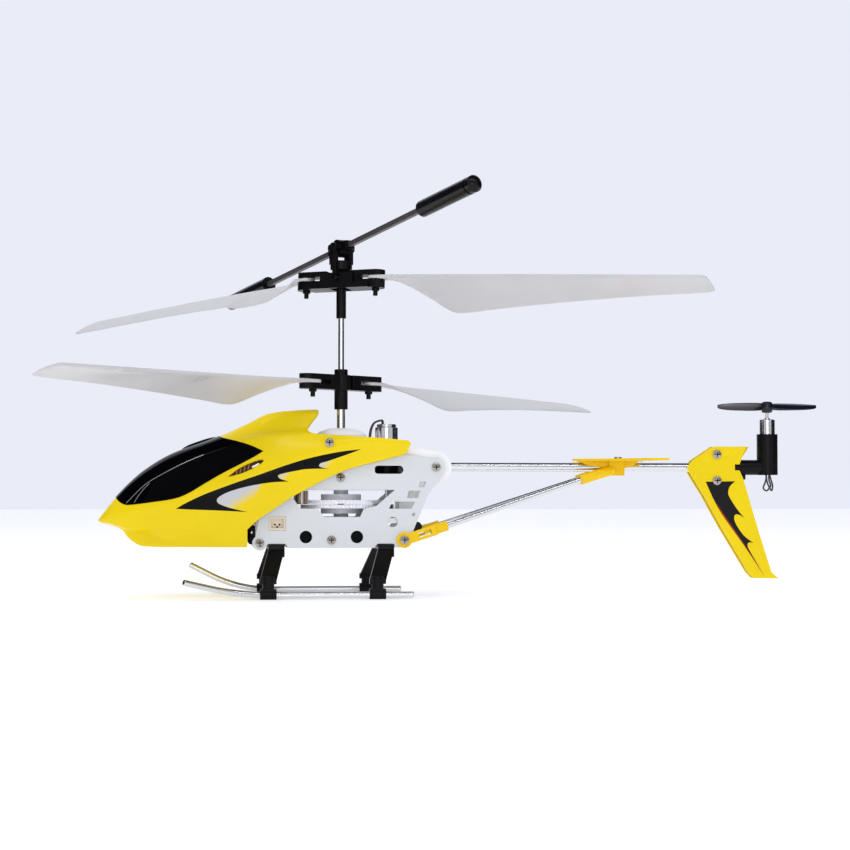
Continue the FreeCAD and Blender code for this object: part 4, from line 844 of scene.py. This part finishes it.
# ---- small parts inside -------------------------------------------------------------
def nose_block():
    """The dark moulding between the plates' front edges, with two small screws a side."""
    bm = eased_box((-24.0, -7.6, 13.5), (-20.6, 7.6, 21.6), offset=0.5, segments=3, profile=0.5)
    screws = bmesh.new()
    rib = [(0.35, -1.5), (0.45, -1.4), (0.45, 1.4), (0.35, 1.5)]
    screw = [(0.42, 7.2), (0.42, 7.75), (0.32, 7.95), (0.12, 8.02)]
    for side in SIDES:
        for height in (15.2, 17.6, 20.0):
            add_placed(bm, drum("rib", rib, 16), (-22.3, 7.6 * side, height), turned(90, "Y"))
        for x, z in ((-23.25, 16.6), (-22.55, 18.7)):
            add_placed(screws, drum("screw", screw, 20), (x, 0, z), turned(-90 * side, "X"))
    finished("nose_block", bm, 35, "airframe", "black_plastic")
    finished("nose_block_screws", screws, 40, "airframe", "steel")


def rear_motor_painted_reflection():
    """A dark band round the middle of the rear motor's can: painted reflection, standing in for the
    dark reflection the can shows through the plate's slot.
    """
    low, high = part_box("rear_motor")
    x = ((low.x + high.x) / 2 - MAST.x) / MM
    can = (high.x - low.x) / 2 / MM
    profile = [(can - 0.3, 30.2), (can + 0.02, 30.25), (can + 0.07, 30.4),
               (can + 0.07, 36.6), (can + 0.02, 36.75), (can - 0.3, 36.8)]
    bm = bmesh.new()
    add_placed(bm, drum("painted_reflection_band", profile, 64), (x, 0, 0), Matrix())
    # black_plastic here is the dark band of painted reflection on the can
    finished("rear_motor_painted_reflection", bm, 35, "airframe", "black_plastic")


PLATE_FACE = (MAST.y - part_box("side_plate_left")[0].y) / MM
SCREWS = (
    # x, z, distance of the face under the head from the middle plane, sides
    (-21.2, 13.9, PLATE_FACE, SIDES), (-3.0, 14.6, PLATE_FACE, SIDES),
    (-0.7, 30.5, PLATE_FACE, SIDES), (23.8, 33.2, PLATE_FACE, SIDES),
    (15.6, 14.6, PLATE_FACE + 1.0, SIDES), (*CANOPY_SCREW, 11.65, SIDES),
    (99.1, 36.8, 1.9, (-1,)), (99.1, 29.9, 1.9, (-1,)))
CROSS_ARM = (0.69, 0.15, 0.125)     # half length, width and depth of a bar of the dark cross of painted shade
CROSS_DEPTH = 0.42                  # its middle stands this far off the face


def screw_recess_painted_shade():
    """Painted shade: a dark cross in each screw's head, a touch under its crown, where the cross
    recess lies in shadow.
    """
    bm = bmesh.new()
    for x, z, face, sides in SCREWS:
        for side in sides:
            for turn in (0, 90):
                bar = eased_box([-size for size in CROSS_ARM], CROSS_ARM, offset=0.03, segments=1)
                arm = bpy.data.meshes.new("arm")
                bar.to_mesh(arm)
                bar.free()
                add_placed(bm, arm, (x, side * (face + CROSS_DEPTH), z), turned(turn, "Y"))
    # black_plastic here is painted shade: a dark fill for the shadow in the cross recesses
    finished("screw_recess_painted_shade", bm, 30, "airframe", "black_plastic")


def socket_insert():
    """The socket's pale core with its two dark contacts, and a dark disc of painted shade in the
    key slot under them.
    """
    low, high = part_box("charge_socket")
    face = (low.y - MAST.y) / MM
    x = ((low.x + high.x) / 2 - MAST.x) / MM
    z = (low.z + high.z) / 2 / MM
    core = eased_box((x - 1.55, face + 0.85, z - 1.25), (x + 1.55, face + 3.05, z + 1.25),
                     offset=0.12, segments=2)
    finished("socket_core", core, 35, "airframe", "socket_beige")
    bm = bmesh.new()
    # the third disc, under the contacts, is painted shade: a dark fill for the shadow in the key
    # slot
    for dx, dz, radius in ((-0.6, -0.3, 0.27), (0.6, -0.3, 0.27), (0.0, -0.85, 0.25)):
        profile = [(radius * 0.8, 0), (radius, 0.03), (radius, 0.3), (radius * 0.8, 0.34)]
        add_placed(bm, drum("contact", profile, 20), (x + dx, face + 0.78, z + dz),
                   turned(-90, "X"))
    finished("socket_contacts_and_slot_shade", bm, 35, "airframe", "black_plastic")


# ---- blades -------------------------------------------------------------------------
BLADE_STATIONS = np.array((
    # distance, extra at the trailing edge, front, back, pitch
    (-2.2, 0.0, 0.15, -0.15, 0.0),
    (-1.9, 0.0, 1.1, -1.1, 0.0),
    (-1.0, 0.0, 1.9, -1.9, 0.0),
    (0.3, 0.0, 2.1, -2.1, 0.0),
    (3.0, 0.0, 1.9, -1.9, 0.0),
    (5.0, 0.0, 2.0, -2.4, 4.0),
    (8.0, 0.0, 2.4, -4.4, 13.0),
    (13.5, 0.0, 2.9, -8.2, 21.0),
    (18.2, 0.0, 3.15, -11.0, 25.5),
    (19.8, 0.0, 3.2, -11.5, 26.0),
    (21.4, 0.0, 3.2, -11.45, 26.0),
    (30.0, 0.0, 3.2, -10.75, 24.0),
    (50.0, 0.0, 3.2, -9.0, 20.0),
    (70.0, 0.0, 3.2, -7.45, 16.5),
    (84.2, 1.2, 3.2, -6.4, 14.2),
    (85.5, 1.5, 2.7, -5.9, 14.0)))
BLADE_CURVES = [curve_through(BLADE_STATIONS[:, 0], BLADE_STATIONS[:, k]) for k in range(1, 5)]
RING = 40               # points round a blade's section
BLADE_TIP = 85.5
ROUND_FROM = 84.0       # the tip's edge is rounded from here on
HUB_TILT = math.radians(4.62)       # the upper hub's pose at rest, about this line
HUB_ANGLE = math.radians(-30.0)


def clamp(value):
    return max(0.0, min(value, 1.0))


def blade_half_thickness(distance, chord):
    """Half thickness at a fraction of the chord from the leading edge, in millimetres."""
    root = clamp((9.0 - distance) / 5.0)
    nose = min(1.0, (chord / 0.08 + 0.02) ** 0.5)
    body = 0.42 * (1 - chord) ** 0.5 * nose + 0.14 * min(1, (1 - chord) * 30)
    tab = 0.5 * min(1, ((1 - abs(2 * chord - 1)) * 8) ** 0.5)
    return (1 - root) * body + root * tab


def blade_ring(distance, droop, lead, twist):
    """The section of a blade at a distance from its pin, in millimetres."""
    extra, front, back, pitch = [curve(distance) for curve in BLADE_CURVES]
    swell = clamp((distance - 6) / 12)
    root = clamp(min((distance - 3.1) / 2.4, (20.0 - distance) / 10.0))
    first, last, at_root = twist
    pitch += swell * (first + (last - first) * distance / BLADE_TIP) + root * at_root
    pitch = math.radians(pitch)
    fall = droop * (max(distance - 4, 0) / 81.5) ** 1.3
    fullness = 1.0
    if distance > ROUND_FROM:
        fullness = max(0.35, math.sqrt(max(0.0, 1 - ((distance - ROUND_FROM) / 1.6) ** 2)))
    ring = []
    for k in range(RING):
        angle = 2 * math.pi * k / RING
        chord = (1 - math.cos(angle)) / 2
        half = blade_half_thickness(distance, chord) * fullness
        camber = swell * 0.55 * 4 * chord * (1 - chord)
        if angle > math.pi:
            offset = camber - half
        elif distance > 12:
            offset = camber + half + 0.10 * math.exp(-((chord - 0.16) / 0.035) ** 2)
        else:
            offset = camber + half
        run = (front - back) * chord
        y = front - run * math.cos(pitch) + offset * math.sin(pitch) * 0.4
        z = -run * math.sin(pitch) + offset * math.cos(pitch)
        ring.append((distance + extra * chord, lead * y, z - fall))
    return ring


def blade_mesh(name, droop, lead, twist, place):
    """One main blade, drilled for its pin; lead is +1 where the rotor sweeps anticlockwise."""
    distances = [*np.linspace(-2.2, 3.0, 14), *np.linspace(3.4, 22, 40),
                 *np.linspace(22.8, 83.6, 90), ROUND_FROM, 84.35, 84.7, 85.0, 85.25, BLADE_TIP]
    bm = bmesh.new()
    closed_loft(bm, [blade_ring(distance, droop, lead, twist) for distance in distances])
    bmesh.ops.recalc_face_normals(bm, faces=bm.faces)
    mesh = bpy.data.meshes.new(name)
    bm.to_mesh(mesh)
    bm.free()
    cutter = bpy.data.objects.new("pin_hole", drum("pin_hole", [(0.55, -3), (0.55, 3)], 24))
    bpy.context.scene.collection.objects.link(cutter)
    drilled = {"object": cutter, "operation": "DIFFERENCE", "solver": "EXACT"}
    mesh = applied(mesh, "BOOLEAN", drilled, name)
    bpy.data.objects.remove(cutter)
    mesh.transform(place)
    smooth(mesh, 60)
    return mesh


def main_blades():
    line = Vector((math.cos(HUB_ANGLE), math.sin(HUB_ANGLE), 0))
    pivot = Matrix.Translation(JOINTS["hub_feather"]["pos_m"])
    feather = pivot @ Matrix.Rotation(-HUB_TILT, 4, line) @ pivot.inverted()
    for name, joint, droop, lead, twist, angle, tilt in (
            ("lower_blade_left", "lower_left_lag", 0.0, 1, (0, 0, 0), 224.0, Matrix()),
            ("lower_blade_right", "lower_right_lag", 2.9, 1, (0, 0, 0), 41.0, Matrix()),
            ("upper_blade_right", "upper_right_lag", 1.8, -1, (8, 0, 0), -22.0, feather),
            ("upper_blade_left", "upper_left_lag", 3.9, -1, (-5, 15, 22), 133.5, feather)):
        pin = Matrix.Translation(JOINTS[joint]["pos_m"])
        place = tilt @ pin @ Matrix.Scale(MM, 4) @ turned(angle, "Z")
        mesh = blade_mesh(name + "_skin", droop, lead, twist, place)
        piece(name + "_skin", mesh, JOINTS[joint]["child"], "blade_white", [name])


# ---- tail ---------------------------------------------------------------------------
TAIL_REACH = 13.3
TAIL_PLANE = 49.5
TAIL_RING = 18          # points round a tail blade's section


def tail_rotor():
    """Hub and two twisted blades, as one moulding."""
    low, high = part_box("tail_rotor")
    centre = (low + high) / 2
    stations = np.array((
        # distance, front, back, pitch
        (0.3, 1.25, -1.25, 36), (2.0, 1.6, -1.7, 33), (4.0, 1.85, -2.0, 30),
        (7.0, 1.95, -2.1, 27), (10.0, 1.85, -2.0, 25), (12.0, 1.5, -1.6, 23),
        (12.9, 1.0, -1.1, 22), (TAIL_REACH, 0.45, -0.5, 21.5)))
    curves = [curve_through(stations[:, 0], stations[:, k]) for k in (1, 2, 3)]
    reaches = [*np.linspace(0.3, 11.5, 30),
               11.9, 12.25, 12.55, 12.8, 13.0, 13.15, 13.26, TAIL_REACH]
    bm = bmesh.new()
    for turn in (1, -1):
        rings = []
        for reach in reaches:
            front, back, pitch = [curve(reach) for curve in curves]
            pitch = math.radians(pitch)
            thin = 0.30 - 0.12 * reach / TAIL_REACH
            ring = []
            for k in range(TAIL_RING):
                angle = 2 * math.pi * k / TAIL_RING
                chord = (1 - math.cos(angle)) / 2
                bulge = 4 * chord * (1 - chord)
                half = thin * max(bulge, 0.0) ** 0.4 + 0.02
                lift = 0.35 * bulge + (half if angle <= math.pi else -half)
                y = front - (front - back) * chord
                ring.append((turn * reach,
                             turn * (y * math.cos(pitch) - lift * math.sin(pitch)),
                             y * math.sin(pitch) + lift * math.cos(pitch) + TAIL_PLANE))
            rings.append(ring)
        closed_loft(bm, rings)
    bm.from_mesh(drum("tail_hub", [
        (1.1, 47.9), (1.3, 48.0), (1.45, 48.3), (1.45, 50.3), (1.35, 50.6), (1.1, 50.8),
        (0.7, 50.9)], 40))
    shaft = ((centre.x - MAST.x) / MM, (centre.y - MAST.y) / MM, 0)
    bmesh.ops.translate(bm, vec=shaft, verts=bm.verts)
    finished("tail_rotor_moulding", bm, 40, "tail_prop", "rotor_navy", ["tail_rotor"])


# side view of the dark mark on each fin
FIN_MARK = [
    (96.1, 29.6), (96.1, 29.6), (103.97, 29.73), (103.97, 29.73), (102.5, 28.3), (102.1, 26.6),
    (102.6, 25.3), (104.47, 22.4), (106.47, 20.0), (106.47, 20.0), (105.1, 20.9), (103.9, 20.9),
    (103.7, 19.9), (104.3, 18.2), (106.31, 15.4), (108.81, 13.5), (108.81, 13.5), (107.9, 13.7),
    (107.3, 13.4), (107.3, 12.6), (107.86, 11.4), (111.78, 4.7), (111.78, 4.7), (106.3, 12.8),
    (102.56, 17.95), (99.9, 21.8), (98.0, 25.3)]


def fin_marks():
    """A thin printed sheet on the outer face of each fin."""
    outline = spline(FIN_MARK, 0.35)
    edges = [(k, (k + 1) % len(outline)) for k in range(len(outline))]
    verts, _, faces, *_ = geometry.delaunay_2d_cdt([Vector(p) for p in outline], edges, [], 1, 1e-5)
    for side, fin in zip(SIDES, ("fin_left", "fin_right")):
        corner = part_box(fin)[SIDES.index(side)]
        surface = (corner.y - MAST.y) / MM
        bm = bmesh.new()
        sheet = [bm.verts.new((x, surface - 0.02 * side, z)) for x, z in verts]
        made = [bm.faces.new([sheet[k] for k in face]) for face in faces]
        for part in bmesh.ops.extrude_face_region(bm, geom=made)["geom"]:
            if isinstance(part, bmesh.types.BMVert):
                part.co.y = surface + 0.05 * side
        finished(fin + "_mark", bm, 30, "airframe", "black_plastic", mats=["fin_mark"])


# ---- CAD pieces with eased edges ----------------------------------------------------
# material, {node: edge rounding in millimetres}
EASED = (
    ("plate_aluminium", {"side_plate_left": 0.15, "side_plate_right": 0.15}),
    ("frame_white", {"main_frame": 0.12, "battery_cover": 0.10}),
    ("black_plastic", {
        "leg_frames": 0.22, "skid_clips": 0.18, "lower_rotor_hub": 0.16, "upper_rotor_hub": 0.16,
        "rotor_head": 0.12, "flybar_holder": 0.14, "link_near": 0.06, "link_far": 0.06,
        "tail_motor_mount": 0.15, "lower_spacer": 0.12, "power_switch_body": 0.15,
        "power_switch_slider": 0.08}),
    ("weight_black", {"flybar_weights": 0.18}),
    ("flybar_grey", {"flybar_rod": 0.12}),
    ("yellow_clip", {"strut_clips": 0.14, "strut_bracket": 0.14, "stabiliser": 0.10}),
    ("yellow_gloss", {"fin_left": 0.10, "fin_right": 0.10}),
    ("socket_beige", {"charge_socket": 0.08}),
    ("battery_wrap", {"battery": 0.70}),
    ("board_green", {"circuit_board": 0.05}),
    ("motor_can", {"front_motor": 0.18, "rear_motor": 0.18, "tail_motor": 0.15}),
    ("screw_steel", {"body_screws": 0.05, "stabiliser_pin": 0.10}),
    ("steel", {"inner_shaft_collar": 0.08}),
    ("black_plastic", {
        "lower_blade_pins": 0.08, "upper_blade_pins": 0.08, "flybar_pivot_pin": 0.12}),
    ("tube_steel", {"skid_rods": 0.25, "struts": 0.10, "tail_boom": 0.05}),
)
PLAIN = {
    "steel": (
        "outer_mast_shaft", "inner_mast_shaft", "front_motor_shaft", "rear_motor_shaft",
        "tail_motor_shaft"),
    "gear_nylon": ("upper_drive_gear", "lower_drive_gear"),
    "brass": ("front_pinion", "rear_pinion", "mast_bearings"),
    "lamp_clear": ("nose_light",),
    "lead_black": ("front_motor_leads", "rear_motor_leads", "tail_leads"),
    "vent_dark": ("vent_grilles",),
}
FLAT_ANGLE = math.radians(0.6)      # faces closer to flat than this are joined
EDGE_ANGLE = math.radians(38)       # edges sharper than this are rounded


def eased_piece(name, width, mat):
    """A CAD piece redrawn with rounded edges."""
    source = frame["nodes"][name]
    bm = bmesh.new()
    bm.from_mesh(source.data)
    bmesh.ops.scale(bm, vec=(1 / MM, 1 / MM, 1 / MM), verts=bm.verts)
    bmesh.ops.remove_doubles(bm, verts=bm.verts, dist=0.001)
    bmesh.ops.dissolve_limit(bm, angle_limit=FLAT_ANGLE, verts=bm.verts, edges=bm.edges,
                             use_dissolve_boundaries=False)
    mesh = bpy.data.meshes.new(name + "_eased")
    bm.to_mesh(mesh)
    bm.free()
    for stale in ("custom_normal", "sharp_edge", "sharp_face"):
        if stale in mesh.attributes:
            mesh.attributes.remove(mesh.attributes[stale])
    mesh.shade_smooth()
    rounding = {"width": width, "segments": 2, "limit_method": "ANGLE", "angle_limit": EDGE_ANGLE,
                "harden_normals": True, "miter_outer": "MITER_ARC"}
    mesh = applied(mesh, "BEVEL", rounding, name + "_eased")
    mesh.transform(Matrix.Scale(MM, 4))
    piece(name + "_eased", mesh, source["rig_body"], mat, [name])


def cad_pieces():
    for mat, nodes in EASED:
        for name, width in nodes.items():
            eased_piece(name, width, mat)
    for mat, nodes in PLAIN.items():
        for name in nodes:
            mesh = frame["nodes"][name].data
            mesh.materials.clear()
            mesh.materials.append(MATERIALS[mat])


camera()
room()
stage()
cad_pieces()
canopy()
canopy_bosses()
windscreen_ridge()
windscreen_beads()
main_blades()
tail_rotor()
fin_marks()
nose_block()
rear_motor_painted_reflection()
vent_slats()
screw_recess_painted_shade()
socket_insert()

bpy.context.view_layer.update()
